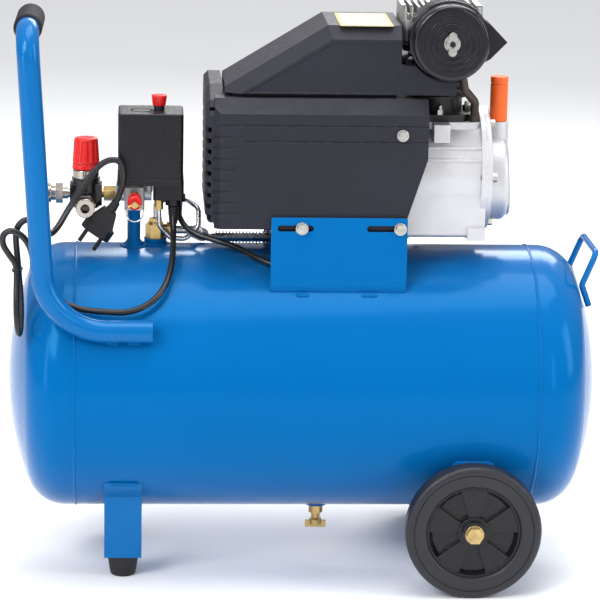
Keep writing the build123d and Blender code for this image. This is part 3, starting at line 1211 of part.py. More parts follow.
def regulator_knob():
    """The fluted red knob."""
    low = COLLAR_TOP + 0.3
    knob = Pos(REG_X, 0, (low + KNOB_TOP) / 2) * Cone(15.6, 13.2, KNOB_TOP - low)
    knob = fillet(knob.edges().group_by(Axis.Z)[-1], 3)
    knob -= cyl_z(20, low + 5.5, low + 6.8, x=REG_X) - cyl_z(14, low + 5, low + 7, x=REG_X)
    flute = Pos(15.9, 0, (low + KNOB_TOP) / 2 + 3) * Rot(0, -3.6, 0) * Cylinder(2.9, KNOB_TOP - low - 12)
    for i in range(12):
        knob -= Pos(REG_X, 0, 0) * Rot(0, 0, 30 * i + 15) * flute
    return knob - cyl_z(5 + FIT, low - 1, COLLAR_TOP + 15, x=REG_X)


def nipple():
    """The brass union nut between the manifold and the regulator."""
    end = RISER_X - 21
    part = hex_x(15, NIPPLE_LEFT, end, 0, REG_Z) + cyl_x(5, REG_X + 10, end + 9, z=REG_Z)
    return part & block(REG_X + 8, end, -20, 20, REG_Z - 20, REG_Z + 20)


def coupler():
    """A quick coupler's body: neck, hexagon and the tube its sleeve slides on, along +Z from its seat."""
    body = cyl_z(5, -8, 1) + cyl_z(6.5, 0, 6) + hex_z(20, 6, 14, 0, 0) + cyl_z(COUPLER_R, 14, 38)
    body += cyl_z(COUPLER_R + 1.6, 36.5, 38)
    body -= cyl_z(COUPLER_BORE, 8, 39)
    return body - cyl_z(3, -9, 10)


def coupler_sleeve():
    low, high = 14 + SLEEVE_TRAVEL + 0.8, 36.0
    sleeve = cyl_z(SLEEVE_R, low, high)
    sleeve = fillet(sleeve.edges().filter_by(GeomType.CIRCLE), 1.2)
    sleeve -= cyl_z(SLEEVE_R + 1, low + 6, low + 8) - cyl_z(SLEEVE_R - 0.8, low + 5, low + 9)
    return sleeve - cyl_z(COUPLER_R + 0.1, low - 1, high + 1)


LEFT_SEAT = Pos(REG_X - 20, 0, REG_Z) * Rot(0, -90, 0)
FRONT_SEAT = Pos(REG_X, -20, FRONT_PORT_Z) * Rot(90, 0, 0)

save(regulator_body(), "regulator_body")
save(regulator_knob(), "regulator_knob")
save(Compound([check_valve(), unloader_fitting(), nipple()]), "brass_fittings")
save(Compound([LEFT_SEAT * coupler(), FRONT_SEAT * coupler(), regulator_collar()]), "coupler_bodies")
save(LEFT_SEAT * coupler_sleeve(), "coupler_sleeve_left")
save(FRONT_SEAT * coupler_sleeve(), "coupler_sleeve_front")

# ---------------------------------------------------------------- cords
LEAD_ROUTE = [
    (-148, -8, 412), (-148, -12, 393), (-148, -27, 379), (-148.5, -50, 370), (-150, -76, 358.5),
    (-156, -101, 342), (-171, -119, 326), (-196, -127, 316), (-225, -124, 316.5), (-252, -119.5, 318),
    (-274, -117, 327), (-291, -116, 344), (-301, -117, 365), (-306, -120, 384), (-316, -122, 395.5),
    (-327, -121.5, 400.5), (-335.5, -120, 396.5), (-334, -119, 387.5), (-324, -118, 379), (-315, -117, 366),
]
TAIL_ROUTE = [
    (-318.5, -110.5, 366), (-320, -111, 384), (-322, -112, 401), (-312, -114, 415), (-297, -114, 407),
    (-287, -102, 395), (-277, -80, 400), (-265, -58, 418), (-250, -45, 439), (-236, -43, 456),
    (-223, -42, 467), (-212, -42, 467), (-206.5, -41, 457), (-206, -39, 445), (-206.5, -37, 433), (-213, -36, 420.5),
]
MOTOR_LEAD_ROUTE = [
    (-143, 14, 412), (-142, 8, 399), (-135, -5, 388), (-120, -15, 380), (-98, -22, 375.5), (-76, -37, 371.5),
    (-54, -58, 363.5), (-34, -71, 358), (-13, -74, 357.5), (6, -67, 362), (15, -57, 373), (18, -52, 390),
]
HANK_X = (-323.0, -308.0)
HANK_Y = (-127.0, -106.5)
HANK_Z = (287.0, 377.0)
PLUG_FACE = (-236.0, -36.0, 386.5)
PLUG_TILT = 34.0  # degrees from upright, towards +X
PLUG_LENGTH = 43.0
PIN_R = 2.4
PIN_LENGTH = 17.0


def bend_radii(route):
    """The tangent-arc radius at each inner point: 0.45 of the shorter run over the tangent of half the turn."""
    radii = []
    for before, here, after in zip(route, route[1:], route[2:]):
        first, second = Vector(*here) - Vector(*before), Vector(*after) - Vector(*here)
        half_turn = math.radians(first.get_angle(second)) / 2
        radii.append(0.45 * min(first.length, second.length) / math.tan(half_turn))
    return radii


def cord(route, radius, name):
    radii = bend_radii(route)
    runs = [(Vector(*b) - Vector(*a)).length for a, b in zip(route, route[1:])]
    tube = pipe(route, radii, radius)
    length = tube.volume / (math.pi * radius**2)
    print(name, "radii", [round(r, 1) for r in radii], "runs", [round(r, 1) for r in runs], "length", round(length, 1))
    return tube


def cord_hank():
    """The tied bundle of the cord's spare length, as one closed solid."""
    hank = block(*HANK_X, *HANK_Y, *HANK_Z)
    hank = fillet(hank.edges().filter_by(Axis.Z), 6)
    return fillet(hank.edges().group_by(Axis.Z)[0], 5)


def mains_plug():
    """A two-pin earthed plug: a round face, a tapering body and a strain relief, pins downwards."""
    body = cyl_z(18, 0, 12) & block(-18, 18, -15, 15, -1, 13)
    taper = loft([Pos(0, 0, 12) * Rectangle(30, 26), Pos(0, 0, 31) * Rectangle(16, 15)])
    body += taper + Pos(0, 0, (31 + PLUG_LENGTH) / 2) * Cone(6, 4.6, PLUG_LENGTH - 31)
    for x in (-9.5, 9.5):
        body += cyl_z(PIN_R, -PIN_LENGTH, 1, x=x)
    return Location(PLUG_FACE, (0, PLUG_TILT, 0)) * body


hank = cord_hank()
lead = cord(LEAD_ROUTE, CORD_R, "power_cord") - hank
tail = cord(TAIL_ROUTE, CORD_R, "cord_tail") - hank
plug = mains_plug()
save(lead, "power_cord")
save(hank, "cord_hank")
save(tail - plug, "cord_tail")
save(plug, "mains_plug")
save(cord(MOTOR_LEAD_ROUTE, LEAD_R, "motor_lead"), "motor_lead")
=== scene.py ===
import math
import random

import bmesh
import bpy
from mathutils import Matrix, Vector


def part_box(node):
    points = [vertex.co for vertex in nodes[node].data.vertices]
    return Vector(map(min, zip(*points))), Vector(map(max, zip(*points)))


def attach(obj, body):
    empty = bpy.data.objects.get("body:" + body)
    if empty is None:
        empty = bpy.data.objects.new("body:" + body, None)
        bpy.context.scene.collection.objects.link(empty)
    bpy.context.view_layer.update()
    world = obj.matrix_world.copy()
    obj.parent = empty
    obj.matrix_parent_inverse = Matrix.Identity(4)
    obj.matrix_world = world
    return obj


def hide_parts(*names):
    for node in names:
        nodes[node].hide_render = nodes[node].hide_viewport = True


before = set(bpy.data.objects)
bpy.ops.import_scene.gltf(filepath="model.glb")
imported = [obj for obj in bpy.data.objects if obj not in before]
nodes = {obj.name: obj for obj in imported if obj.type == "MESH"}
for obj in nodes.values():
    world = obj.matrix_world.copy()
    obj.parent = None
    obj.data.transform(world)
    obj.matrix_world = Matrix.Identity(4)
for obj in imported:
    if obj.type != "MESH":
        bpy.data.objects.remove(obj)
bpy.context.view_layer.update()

MM = 0.001
rng = random.Random(7)

# ---------------------------------------------------------------- camera
YAW, PITCH, ROLL = 0.0576, 0.2269, 0.018  # radians
CAMERA_PLACE = (-0.18523, -3.17061, 1.03555)
camera = bpy.data.objects.new("camera", bpy.data.cameras.new("camera"))
bpy.context.scene.collection.objects.link(camera)
camera.data.lens = 171.0
camera.data.sensor_width = 36.0
camera.data.clip_start, camera.data.clip_end = 0.05, 60.0
forward = Vector((math.sin(YAW) * math.cos(PITCH), math.cos(YAW) * math.cos(PITCH), -math.sin(PITCH)))
upright = forward.to_track_quat("-Z", "Y").to_matrix().to_4x4()
camera.matrix_world = Matrix.Translation(CAMERA_PLACE) @ upright @ Matrix.Rotation(ROLL, 4, "Z")
bpy.context.scene.camera = camera


# ---------------------------------------------------------------- helpers for materials
def add(nt, kind, inputs=None, **settings):
    made = nt.nodes.new("ShaderNode" + kind)
    for key, value in settings.items():
        setattr(made, key, value)
    for key, value in (inputs or {}).items():
        made.inputs[key].default_value = value
    return made


def shade(color, factor):
    return (min(1, color[0] * factor), min(1, color[1] * factor), min(1, color[2] * factor), 1.0)


def mixed(nt, factor, first, second):
    """A colour mix whose factor is a socket; first and second are sockets or colours."""
    mix = add(nt, "Mix", data_type="RGBA")
    nt.links.new(factor, mix.inputs[0])
    for value, socket in ((first, mix.inputs[6]), (second, mix.inputs[7])):
        if hasattr(value, "is_linked"):
            nt.links.new(value, socket)
        else:
            socket.default_value = value
    return mix.outputs[2]


def ranged(nt, value, low, high, to_low, to_high):
    spread = add(nt, "MapRange", {"From Min": low, "From Max": high, "To Min": to_low, "To Max": to_high})
    nt.links.new(value, spread.inputs["Value"])
    return spread.outputs["Result"]


def times(nt, first, second):
    product = add(nt, "Math", operation="MULTIPLY")
    nt.links.new(first, product.inputs[0])
    nt.links.new(second, product.inputs[1])
    return product.outputs[0]


def surface(name, color, rough, metallic=0.0, specular=0.5, tint=0.08, patch=9.0, spread=0.06, bumps=(),
            edge=0.0, wear=None, dust=None, stretch=(1, 1, 1), speckle=None, fleck=1800.0, sheen_tint=None,
            other=None):
    """A procedural surface: blotched colour, uneven roughness, bumps, worn edges and settled dust.

    other is (axis, from, to, colour, rough, metallic): a second finish between two places along an axis.
    """
    material = bpy.data.materials.new(name)
    material.use_nodes = True
    nt = material.node_tree
    shader = nt.nodes["Principled BSDF"]
    shader.inputs["Metallic"].default_value = metallic
    shader.inputs["Specular IOR Level"].default_value = specular
    if sheen_tint:
        shader.inputs["Specular Tint"].default_value = (*sheen_tint, 1)
    place = add(nt, "TexCoord")
    mapped = add(nt, "Mapping", {"Scale": stretch})
    nt.links.new(place.outputs["Object"], mapped.inputs["Vector"])

    def noise(scale, detail=5.0, rough_=0.55):
        made = add(nt, "TexNoise", {"Scale": scale, "Detail": detail, "Roughness": rough_})
        nt.links.new(mapped.outputs[0], made.inputs["Vector"])
        return made.outputs["Fac"]

    blotch = noise(patch)
    dark, light = shade(color, 1 - tint), shade(color, 1 + tint)
    colour = mixed(nt, ranged(nt, blotch, 0.3, 0.7, 0.0, 1.0), dark, light)
    fine = noise(patch * 23, 3.0)
    if speckle:
        colour = mixed(nt, ranged(nt, noise(fleck, 2.0), 0.56, 0.72, 0.0, 1.0), colour, shade(speckle, 1))
    roughness = ranged(nt, fine, 0.3, 0.7, max(0.02, rough - spread), min(1, rough + spread))
    if other:
        axis, start, stop, second, second_rough, second_metal = other
        spot = add(nt, "SeparateXYZ")
        nt.links.new(place.outputs["Object"], spot.inputs[0])
        after = ranged(nt, spot.outputs[axis], start - 0.0002, start + 0.0002, 0.0, 1.0)
        before = ranged(nt, spot.outputs[axis], stop - 0.0002, stop + 0.0002, 1.0, 0.0)
        inside = times(nt, after, before)
        patched = ranged(nt, blotch, 0.3, 0.7, 0.0, 1.0)
        colour = mixed(nt, inside, colour, mixed(nt, patched, shade(second, 0.88), shade(second, 1.12)))
        both = add(nt, "Mix", data_type="FLOAT")
        nt.links.new(inside, both.inputs[0])
        nt.links.new(roughness, both.inputs[2])
        nt.links.new(ranged(nt, fine, 0.3, 0.7, second_rough - 0.04, second_rough + 0.04), both.inputs[3])
        roughness = both.outputs[0]
        nt.links.new(ranged(nt, inside, 0.0, 1.0, metallic, second_metal), shader.inputs["Metallic"])
    geometry = add(nt, "NewGeometry")
    normal = None
    if edge:
        bevel = add(nt, "Bevel", {"Radius": edge}, samples=4)
        normal = bevel.outputs["Normal"]
        if wear:
            dot = add(nt, "VectorMath", operation="DOT_PRODUCT")
            nt.links.new(bevel.outputs["Normal"], dot.inputs[0])
            nt.links.new(geometry.outputs["Normal"], dot.inputs[1])
            worn = ranged(nt, dot.outputs["Value"], 0.80, 0.985, 1.0, 0.0)
            ragged = ranged(nt, noise(160.0, 6.0, 0.7), 0.44, 0.62, 0.0, 1.0)
            colour = mixed(nt, times(nt, worn, ragged), colour, shade(wear, 1))
    if dust:
        split = add(nt, "SeparateXYZ")
        nt.links.new(geometry.outputs["Normal"], split.inputs[0])
        upward = ranged(nt, split.outputs["Z"], 0.55, 1.0, 0.0, dust)
        settled = times(nt, upward, ranged(nt, noise(70.0, 7.0, 0.7), 0.35, 0.75, 0.1, 1.0))
        colour = mixed(nt, settled, colour, (0.55, 0.54, 0.52, 1))
    for scale, strength, distance, kind in bumps:
        if kind == "cells":
            made = add(nt, "TexVoronoi", {"Scale": scale})
            nt.links.new(mapped.outputs[0], made.inputs["Vector"])
            height = made.outputs["Distance"]
        else:
            height = noise(scale, 3.0)
        bump = add(nt, "Bump", {"Strength": strength, "Distance": distance})
        nt.links.new(height, bump.inputs["Height"])
        if normal is not None:
            nt.links.new(normal, bump.inputs["Normal"])
        normal = bump.outputs["Normal"]
    nt.links.new(colour, shader.inputs["Base Color"])
    nt.links.new(roughness, shader.inputs["Roughness"])
    if normal is not None:
        nt.links.new(normal, shader.inputs["Normal"])
    return material


# ---------------------------------------------------------------- materials
paint = surface("blue_enamel", (0.001, 0.112, 0.345), 0.17, specular=0.26, tint=0.035, patch=5.0, spread=0.03,
                bumps=[(260.0, 0.05, 0.0006, "noise"), (14.0, 0.10, 0.002, "noise")], edge=0.0012,
                wear=(0.04, 0.18, 0.42), dust=0.02, sheen_tint=(0.10, 0.55, 1.0))
paint_bar = surface("blue_enamel_bar", (0.001, 0.112, 0.345), 0.19, specular=0.40, tint=0.04, patch=9.0,
                    bumps=[(320.0, 0.06, 0.0005, "noise")], edge=0.0010, wear=(0.06, 0.20, 0.45), dust=0.015,
                    sheen_tint=(0.4, 0.75, 1.0))
black_paint = surface("black_enamel", (0.012, 0.012, 0.014), 0.34, specular=0.4, tint=0.2,
                      bumps=[(700.0, 0.25, 0.0004, "noise")], edge=0.0008, wear=(0.07, 0.07, 0.07))
grained = surface("grained_black_plastic", (0.015, 0.015, 0.024), 0.48, specular=0.24, tint=0.12, patch=6.0,
                  bumps=[(1500.0, 0.45, 0.0005, "cells"), (420.0, 0.12, 0.0006, "noise")], edge=0.0014,
                  wear=(0.060, 0.060, 0.070), dust=0.06)
rim_plastic = surface("rim_plastic", (0.006, 0.006, 0.008), 0.30, specular=0.36, tint=0.15, patch=14.0,
                      bumps=[(1100.0, 0.22, 0.0004, "cells")], edge=0.0012, wear=(0.035, 0.035, 0.04))
gloss_black = surface("gloss_black_plastic", (0.005, 0.005, 0.008), 0.16, specular=0.45, tint=0.15,
                      patch=8.0, spread=0.04, bumps=[(180.0, 0.05, 0.0006, "noise")], edge=0.0012,
                      wear=(0.04, 0.04, 0.05))
satin_black = surface("satin_black_plastic", (0.006, 0.006, 0.009), 0.30, specular=0.34, tint=0.14,
                      bumps=[(1300.0, 0.22, 0.0004, "cells")], edge=0.0012, wear=(0.045, 0.045, 0.05),
                      dust=0.04)


def red_finish(name, edge=0.0008, other=None):
    return surface(name, (0.66, 0.014, 0.014), 0.24, specular=0.4, tint=0.07, patch=20.0,
                   bumps=[(500.0, 0.06, 0.0004, "noise")], edge=edge, wear=(0.78, 0.10, 0.07), other=other)


def brass_finish(name, edge=0.0006, other=None):
    return surface(name, BRASS, 0.28, metallic=1.0, tint=0.15, patch=80.0,
                   bumps=[(900.0, 0.18, 0.0003, "noise")], edge=edge, wear=(0.85, 0.72, 0.40), other=other)


BRASS = (0.58, 0.40, 0.16)
red = red_finish("red_plastic")
button_red = red_finish("button_red", other=("Z", 0.0, 0.5266, (0.012, 0.011, 0.015), 0.33, 0.0))
valve_red = red_finish("valve_red", 0.0006, ("Y", -0.0341, 0.1, BRASS, 0.28, 1.0))
orange = surface("orange_plastic", (0.88, 0.130, 0.016), 0.32, specular=0.4, tint=0.06, patch=25.0,
                 bumps=[(800.0, 0.12, 0.0004, "noise")], edge=0.0008, wear=(0.95, 0.32, 0.12))
cast = surface("cast_aluminium", (0.60, 0.60, 0.62), 0.44, metallic=0.60, tint=0.08, patch=16.0, spread=0.10,
               bumps=[(620.0, 0.55, 0.0006, "noise"), (90.0, 0.16, 0.0012, "noise")], edge=0.0012,
               wear=(0.93, 0.93, 0.94), speckle=(0.52, 0.52, 0.52), fleck=900.0)
head_cast = surface("dark_cast_aluminium", (0.36, 0.36, 0.36), 0.42, metallic=0.85, tint=0.16, patch=30.0,
                    bumps=[(620.0, 0.5, 0.0006, "noise")], edge=0.0010, wear=(0.80, 0.80, 0.80))
drawn = surface("drawn_aluminium", (0.66, 0.66, 0.67), 0.28, metallic=1.0, tint=0.10, patch=30.0,
                bumps=[(420.0, 0.18, 0.0004, "noise")])
steel = surface("machined_steel", (0.50, 0.50, 0.51), 0.30, metallic=1.0, tint=0.12, patch=40.0,
                bumps=[(900.0, 0.25, 0.0003, "noise")], stretch=(0.2, 1, 1))
zinc = surface("zinc_plate", (0.50, 0.49, 0.46), 0.25, metallic=1.0, tint=0.16, patch=120.0,
               bumps=[(700.0, 0.15, 0.0003, "noise")], edge=0.0006, wear=(0.9, 0.9, 0.88))
gold_zinc = surface("yellow_zinc_plate", (0.50, 0.36, 0.16), 0.27, metallic=1.0, tint=0.20, patch=90.0,
                    bumps=[(700.0, 0.15, 0.0003, "noise")], edge=0.0006, wear=(0.90, 0.84, 0.66))
nickel = surface("worn_nickel", (0.46, 0.42, 0.37), 0.18, metallic=1.0, tint=0.08, patch=60.0, spread=0.05,
                 bumps=[(900.0, 0.06, 0.0002, "noise")], edge=0.0005, wear=(0.90, 0.88, 0.84))
brass = brass_finish("turned_brass")
pin_brass = brass_finish("pin_brass", 0.0004, ("Z", 0.0, 0.4195, (0.62, 0.61, 0.60), 0.16, 1.0))
tyre_rubber = surface("tyre_rubber", (0.013, 0.013, 0.018), 0.40, specular=0.42, tint=0.14, patch=16.0,
                      bumps=[(900.0, 0.3, 0.0005, "noise")], edge=0.0010, dust=0.05)
rubber = surface("moulded_rubber", (0.008, 0.008, 0.010), 0.55, specular=0.4, tint=0.15, patch=30.0,
                 bumps=[(900.0, 0.25, 0.0004, "noise")], edge=0.0010)
sheath = surface("cord_sheath", (0.010, 0.010, 0.012), 0.30, specular=0.45, tint=0.15, patch=40.0, spread=0.05,
                 bumps=[(600.0, 0.10, 0.0004, "noise")])
foam = surface("grip_foam", (0.009, 0.009, 0.012), 0.72, specular=0.3, tint=0.2, patch=60.0,
               bumps=[(1700.0, 0.5, 0.0006, "cells")], edge=0.0012)
filter_foam = surface("filter_foam", (0.30, 0.30, 0.28), 0.9, tint=0.3, patch=400.0,
                      bumps=[(1200.0, 0.9, 0.001, "cells")])
label_face = surface("label_film", (0.36, 0.33, 0.29), 0.35, tint=0.04, patch=30.0,
                     bumps=[(300.0, 0.05, 0.0003, "noise")])
label_border = surface("label_border", (0.46, 0.33, 0.04), 0.35, tint=0.06, patch=30.0,
                       bumps=[(300.0, 0.05, 0.0003, "noise")])
elbow = surface("brown_hose", (0.034, 0.021, 0.017), 0.42, specular=0.4, tint=0.2, patch=40.0,
                bumps=[(700.0, 0.2, 0.0004, "noise")])


def clear_plastic():
    material = surface("clear_plastic", (0.80, 0.78, 0.66), 0.12, tint=0.08, patch=60.0)
    shader = material.node_tree.nodes["Principled BSDF"]
    shader.inputs["Transmission Weight"].default_value = 0.75
    shader.inputs["IOR"].default_value = 1.49
    return material


sight = clear_plastic()

FINISH = {
    paint: ["tank_shell", "tank_heads", "tank_ports", "pump_brackets", "wheel_brackets"],
    paint_bar: ["handle_arm", "tow_handle", "front_foot_strap"],
    black_paint: ["pump_base_tray", "cylinder_barrel"],
    grained: ["pump_shroud", "air_duct", "cooling_fan"],
    rim_plastic: ["rim_near", "rim_far"],
    gloss_black: ["filter_cap", "filter_housing", "regulator_body"],
    satin_black: ["switch_cover", "switch_base", "switch_mechanism"],
    elbow: ["breather_elbow"],
    orange: ["oil_filler_plug"],
    sight: ["oil_sight_glass"],
    cast: ["crankcase", "crankcase_cover", "manifold", "piston", "motor_housing"],
    head_cast: ["cylinder_head"],
    drawn: ["discharge_tube", "unloader_tube", "connecting_rod"],
    steel: ["motor_stator", "motor_rotor_and_shaft", "shaft_bearings", "crank"],
    zinc: ["hex_fasteners", "filter_wing_nut"],
    gold_zinc: ["wheel_bolts"],
    nickel: ["coupler_bodies", "coupler_sleeve_left", "coupler_sleeve_front"],
    brass: ["brass_fittings", "drain_valve", "drain_screw"],
    tyre_rubber: ["tyre_near", "tyre_far"],
    rubber: ["foot_pads", "mains_plug"],
    sheath: ["motor_lead", "power_cord", "cord_tail", "cord_hank"],
    foam: ["handle_grip"],
    filter_foam: ["filter_element"],
    red: ["regulator_knob"],
    button_red: ["on_off_button"],
    valve_red: ["safety_valve"],
    pin_brass: ["safety_pull_pin"],
}
for material, names in FINISH.items():
    for name in names:
        nodes[name].data.materials[0] = material


# ---------------------------------------------------------------- helpers for meshes
def mesh_object(name, bm, material, body, smooth=True):
    mesh = bpy.data.meshes.new(name)
    bmesh.ops.recalc_face_normals(bm, faces=bm.faces)
    bm.to_mesh(mesh)
    bm.free()
    for polygon in mesh.polygons:
        polygon.use_smooth = smooth
    mesh.materials.append(material)
    made = bpy.data.objects.new(name, mesh)
    bpy.context.scene.collection.objects.link(made)
    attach(made, body)
    return made


def tube_mesh(points, radius_at, sides=12, closed=False):
    """A tube of changing radius along a list of points, with capped ends unless it is closed."""
    bm = bmesh.new()
    rings = []
    count = len(points)
    side = None
    for i, point in enumerate(points):
        before = points[i - 1] if closed or i else point
        after = points[(i + 1) % count] if closed or i < count - 1 else point
        along = (Vector(after) - Vector(before)).normalized()
        if side is None:
            side = along.orthogonal().normalized()
        side = (side - along * side.dot(along)).normalized()
        across = along.cross(side)
        radius = radius_at(i)
        ring = []
        for k in range(sides):
            angle = 2 * math.pi * k / sides
            outward = side * math.cos(angle) + across * math.sin(angle)
            ring.append(bm.verts.new(Vector(point) + outward * radius))
        rings.append(ring)
    pairs = list(zip(rings, rings[1:]))
    if closed:
        pairs.append((rings[-1], rings[0]))
    for first, second in pairs:
        for k in range(sides):
            bm.faces.new((first[k], first[(k + 1) % sides], second[(k + 1) % sides], second[k]))
    if not closed:
        bm.faces.new(rings[0])
        bm.faces.new(rings[-1])
    return bm


def weld_bead(name, points, radius, pitch=2.2 * MM):
    """A painted weld: a lumpy bead of overlapping ripples along a line."""
    line = [Vector(points[0])]
    for a, b in zip(points, points[1:]):
        a, b = Vector(a), Vector(b)
        steps = max(2, round((b - a).length / (pitch / 4)))
        line += [a.lerp(b, (k + 1) / steps) for k in range(steps)]
    phase = rng.uniform(0, 6)
    size = [radius * (0.86 + 0.16 * math.sin(i * math.pi / 2 + phase) + rng.uniform(-0.05, 0.05))
            for i in range(len(line))]
    for i in range(min(4, len(line) // 2)):
        size[i] *= 0.45 + 0.14 * i
        size[-1 - i] *= 0.45 + 0.14 * i
    return mesh_object(name, tube_mesh(line, lambda i: size[i], 9), paint, "frame")


# ---------------------------------------------------------------- power cord
CORD_R = 3.5
TIE_Z = 362
TIE_TURN = 4.5  # radius of the tie's path round each strand

# gland, loop in front of the tank, bow, open hank, then up and over to the plug, in millimetres
route = [
    (-148, -8, 412), (-148, -12, 393), (-148, -27, 379), (-148.5, -50, 370), (-150, -76, 358.5),
    (-156, -101, 342), (-171, -119, 326), (-196, -127, 316), (-225, -124, 316.5), (-252, -119.5, 318),
    (-274, -117, 327), (-291, -116, 344), (-301, -117, 365), (-304, -120, 386), (-312, -122, 400),
    (-324, -121.5, 407), (-334, -120.5, 403), (-335.5, -119.5, 391), (-328, -120, 379),
    (-319.5, -121.5, 368), (-319.5, -124, 352), (-319.8, -131, 332), (-319.6, -134.5, 314),
    (-318.4, -134.5, 301), (-317.4, -126, 290.5), (-316.6, -108, 290.5), (-316.2, -99.5, 301),
    (-316.0, -100, 314), (-316.4, -104, 334), (-317.6, -109.5, 352), (-318.6, -111, 367),
    (-320.5, -111.5, 388), (-321, -113, 407), (-310, -114, 419), (-295, -112, 410), (-285, -100, 396),
    (-276, -80, 401), (-265, -58, 418), (-250, -46, 439), (-238, -43.5, 458), (-223, -42.5, 471),
    (-208, -42.5, 471), (-203.5, -41.5, 456), (-206, -38, 436), (-213, -36, 420.5),
]
curve = bpy.data.curves.new("power_cord_sheath", "CURVE")
curve.dimensions = "3D"
curve.bevel_depth = CORD_R * MM
curve.bevel_resolution = 5
spline = curve.splines.new("NURBS")
spline.points.add(len(route) - 1)
for point, place in zip(spline.points, route):
    point.co = (place[0] * MM, place[1] * MM, place[2] * MM, 1.0)
spline.order_u = 3
spline.use_endpoint_u = True
spline.resolution_u = 10
curve.use_fill_caps = True
curve.materials.append(sheath)
power_cord = bpy.data.objects.new("power_cord_sheath", curve)
bpy.context.scene.collection.objects.link(power_cord)
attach(power_cord, "frame")
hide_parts("power_cord", "cord_hank", "cord_tail")

# cable tie round the two strands of the hank
tie_points = []
for centre, start in ((Vector((-318.8, -111.2, TIE_Z)), 0), (Vector((-319.5, -122.2, TIE_Z)), 180)):
    for k in range(9):
        angle = math.radians(start + 22.5 * k)
        outward = Vector((math.cos(angle), math.sin(angle), 0))
        tie_points.append((centre + outward * TIE_TURN) * MM)
tie_bm = tube_mesh(tie_points, lambda i: 1.3 * MM, 8, closed=True)
tie = mesh_object("hank_tie", tie_bm, satin_black, "frame")


def strain_relief(name, top, turn_x, turn_y, radius, tip_radius, length):
    """A ribbed, tapering sleeve hanging from a cable gland."""
    points, sizes = [], []
    count = 26
    for i in range(count + 1):
        t = i / count
        points.append(Vector((top[0] + turn_x * t * t, top[1] + turn_y * t * t, top[2] - length * t)) * MM)
        rib = 0.55 if (i // 2) % 2 == 0 and 2 < i < count - 1 else 0.0
        sizes.append((radius + (tip_radius - radius) * t + rib) * MM)
    return mesh_object(name, tube_mesh(points, lambda i: sizes[i], 20), rubber, "frame")


relief = strain_relief("power_strain_relief", (-148, -8, 412.5), 0, -3.0, 6.2, 4.3, 20)
strain_relief("motor_strain_relief", (-143, 14, 412.5), 0.7, -4.2, 5.8, 4.0, 14)

# ---------------------------------------------------------------- welds
TANK_Z, TANK_R = 215.6, 150.0
SEAM_X = 257.0
SEAM_R = TANK_R - 0.9
HANDLE_WELD_Y = -134.0
BRACKET_WELD_Y = 97.5
FOOT_WELD_Z = 117.4
WHEEL_WELD_Z = 148.6


def on_tank(x, y, lift=0.0):
    """A point on the upper half of the shell, a little above it when lift is positive."""
    radius = TANK_R + lift
    return Vector((x, y, TANK_Z + math.sqrt(radius * radius - y * y))) * MM


def seam_ring(name, x, radius):
    points, sizes = [], []
    count = 720
    for i in range(count):
        angle = 2 * math.pi * i / count
        wobble = 0.25 * math.sin(angle * 9) + 0.15 * math.sin(angle * 23 + 1)
        y, z = SEAM_R * math.sin(angle), TANK_Z + SEAM_R * math.cos(angle)
        points.append(Vector((x + wobble, y, z)) * MM)
        sizes.append((radius + 0.16 * math.sin(i * 1.7)) * MM)
    ring = tube_mesh(points, lambda i: sizes[i], 8, closed=True)
    return mesh_object(name, ring, paint, "frame")


seam_ring("seam_weld_left", -SEAM_X, 1.9)
seam_ring("seam_weld_right", SEAM_X, 1.9)
for i, (x0, x1) in enumerate([(-222, -208), (-200, -184)]):
    ends = (x0, (x0 + x1) / 2, x1)
    weld_bead(f"handle_weld_{i}", [on_tank(x, HANDLE_WELD_Y, 0.3) for x in ends], 2.6 * MM)
for side in (-1, 1):
    for i, (x0, x1) in enumerate([(-12, 2), (60, 78)]):
        ends = (x0, (x0 + x1) / 2, x1)
        weld_bead(f"bracket_weld_{i}_{'near' if side < 0 else 'far'}",
                  [on_tank(x, side * BRACKET_WELD_Y, 0.2) for x in ends], 2.3 * MM)


def ring_weld(name, x, y, radius, bead):
    points = []
    for i in range(64):
        angle = 2 * math.pi * i / 64
        points.append(on_tank(x + radius * math.cos(angle), y + radius * math.sin(angle), 0.2))
    points.append(points[0])
    weld_bead(name, points, bead * MM, 2.6 * MM)


ring_weld("riser_weld", -192.5, 0.0, 14.0, 1.8)
ring_weld("check_valve_weld", -168.0, 14.0, 15.2, 1.6)


def side_point(x, z, side, lift):
    """A point on the lower shell, seen from the near or the far side."""
    radius = TANK_R + lift
    return Vector((x, side * math.sqrt(radius * radius - (z - TANK_Z) ** 2), z)) * MM


for side, place in ((-1, "near"), (1, "far")):
    foot_line = [side_point(x, FOOT_WELD_Z, side, 1.6) for x in (-220, -203, -186)]
    wheel_line = [side_point(x, WHEEL_WELD_Z, side, 0.6) for x in (166, 186, 206)]
    weld_bead(f"foot_weld_{place}", foot_line, 2.2 * MM)
    weld_bead(f"wheel_weld_{place}", wheel_line, 2.4 * MM)

# ---------------------------------------------------------------- floor, world and lights
def plane(name, size, place, turn, material):
    bm = bmesh.new()
    bmesh.ops.create_grid(bm, x_segments=1, y_segments=1, size=size)
    mesh = bpy.data.meshes.new(name)
    bm.to_mesh(mesh)
    bm.free()
    mesh.materials.append(material)
    made = bpy.data.objects.new(name, mesh)
    made.location = place
    made.rotation_euler = turn
    bpy.context.scene.collection.objects.link(made)
    return made


floor_material = surface("pale_floor", (0.93, 0.93, 0.935), 0.55, specular=0.3, tint=0.01, patch=1.5,
                         spread=0.04)
plane("floor", 9.0, (0, 0, 0), (0, 0, 0), floor_material)

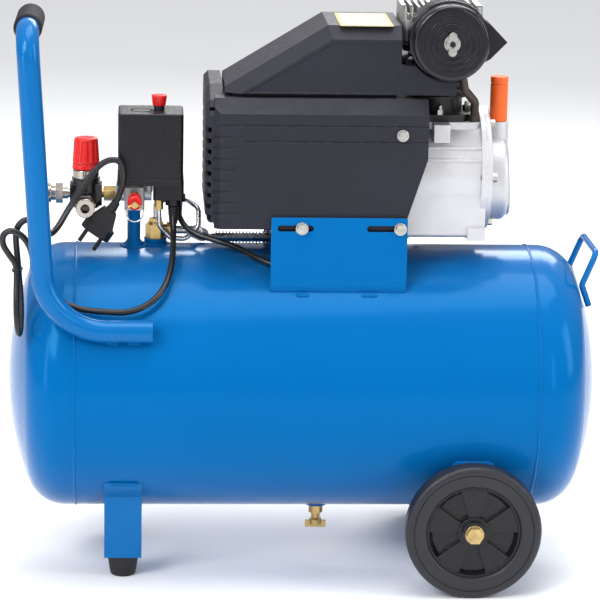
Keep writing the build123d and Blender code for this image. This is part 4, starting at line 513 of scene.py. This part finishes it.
world = bpy.data.worlds.new("studio")
bpy.context.scene.world = world
world.use_nodes = True
world.node_tree.nodes["Background"].inputs["Color"].default_value = (0.97, 0.98, 1.0, 1)
direction = add(world.node_tree, "TexCoord")
height = add(world.node_tree, "SeparateXYZ")
world.node_tree.links.new(direction.outputs["Generated"], height.inputs[0])
world.node_tree.links.new(ranged(world.node_tree, height.outputs["Z"], 0.0, 0.65, 0.22, 0.85),
                          world.node_tree.nodes["Background"].inputs["Strength"])


def softbox(name, place, aim, size, power):
    """A white rectangular light that faces the aim point."""
    light = bpy.data.lights.new(name, "AREA")
    light.shape = "RECTANGLE"
    light.size, light.size_y = size
    light.energy = power
    made = bpy.data.objects.new(name, light)
    made.location = place
    made.rotation_mode = "QUATERNION"
    made.rotation_quaternion = (Vector(aim) - Vector(place)).to_track_quat("-Z", "Y")
    bpy.context.scene.collection.objects.link(made)


softbox("key", (-1.7, -2.2, 2.3), (0, 0, 0.3), (1.1, 1.5), 55)
softbox("top", (0.2, -0.2, 2.6), (0, 0, 0.4), (2.2, 1.2), 38)
softbox("strip_left", (-2.3, -1.7, 1.1), (-0.2, 0, 0.4), (0.22, 1.9), 14)
softbox("strip_right", (1.1, -3.0, 1.2), (-0.2, 0, 0.4), (0.18, 1.7), 9)
softbox("right", (2.4, -1.0, 1.3), (0.1, 0, 0.4), (0.8, 1.6), 22)
softbox("back", (0.6, 2.4, 2.0), (0, 0, 0.4), (1.8, 1.0), 40)

bpy.context.scene.view_settings.view_transform = "Standard"

# ---------------------------------------------------------------- plain label on the air duct
FILM_T = 0.25 * MM
SHEET_LIFT = 0.26 * MM  # the sheet lies just above the border film
_, duct_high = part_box("air_duct")


def flat_label(name, x0, x1, y0, y1, z, corner, material):
    bm = bmesh.new()
    outline = []
    for cx, cy, start in ((x1 - corner, y1 - corner, 0), (x0 + corner, y1 - corner, 90),
                          (x0 + corner, y0 + corner, 180), (x1 - corner, y0 + corner, 270)):
        for k in range(7):
            angle = math.radians(start + 15 * k)
            outline.append((cx + corner * math.cos(angle), cy + corner * math.sin(angle)))
    low = [bm.verts.new((x * MM, y * MM, z)) for x, y in outline]
    high = [bm.verts.new((x * MM, y * MM, z + FILM_T)) for x, y in outline]
    bm.faces.new(low)
    bm.faces.new(high)
    for i in range(len(outline)):
        j = (i + 1) % len(outline)
        bm.faces.new((low[i], low[j], high[j], high[i]))
    return mesh_object(name, bm, material, "frame", smooth=False)


flat_label("label_edge", 33, 92, -66, 47, duct_high.z, 4, label_border)
flat_label("label_sheet", 36, 89, -63, 44, duct_high.z + SHEET_LIFT, 2, label_face)
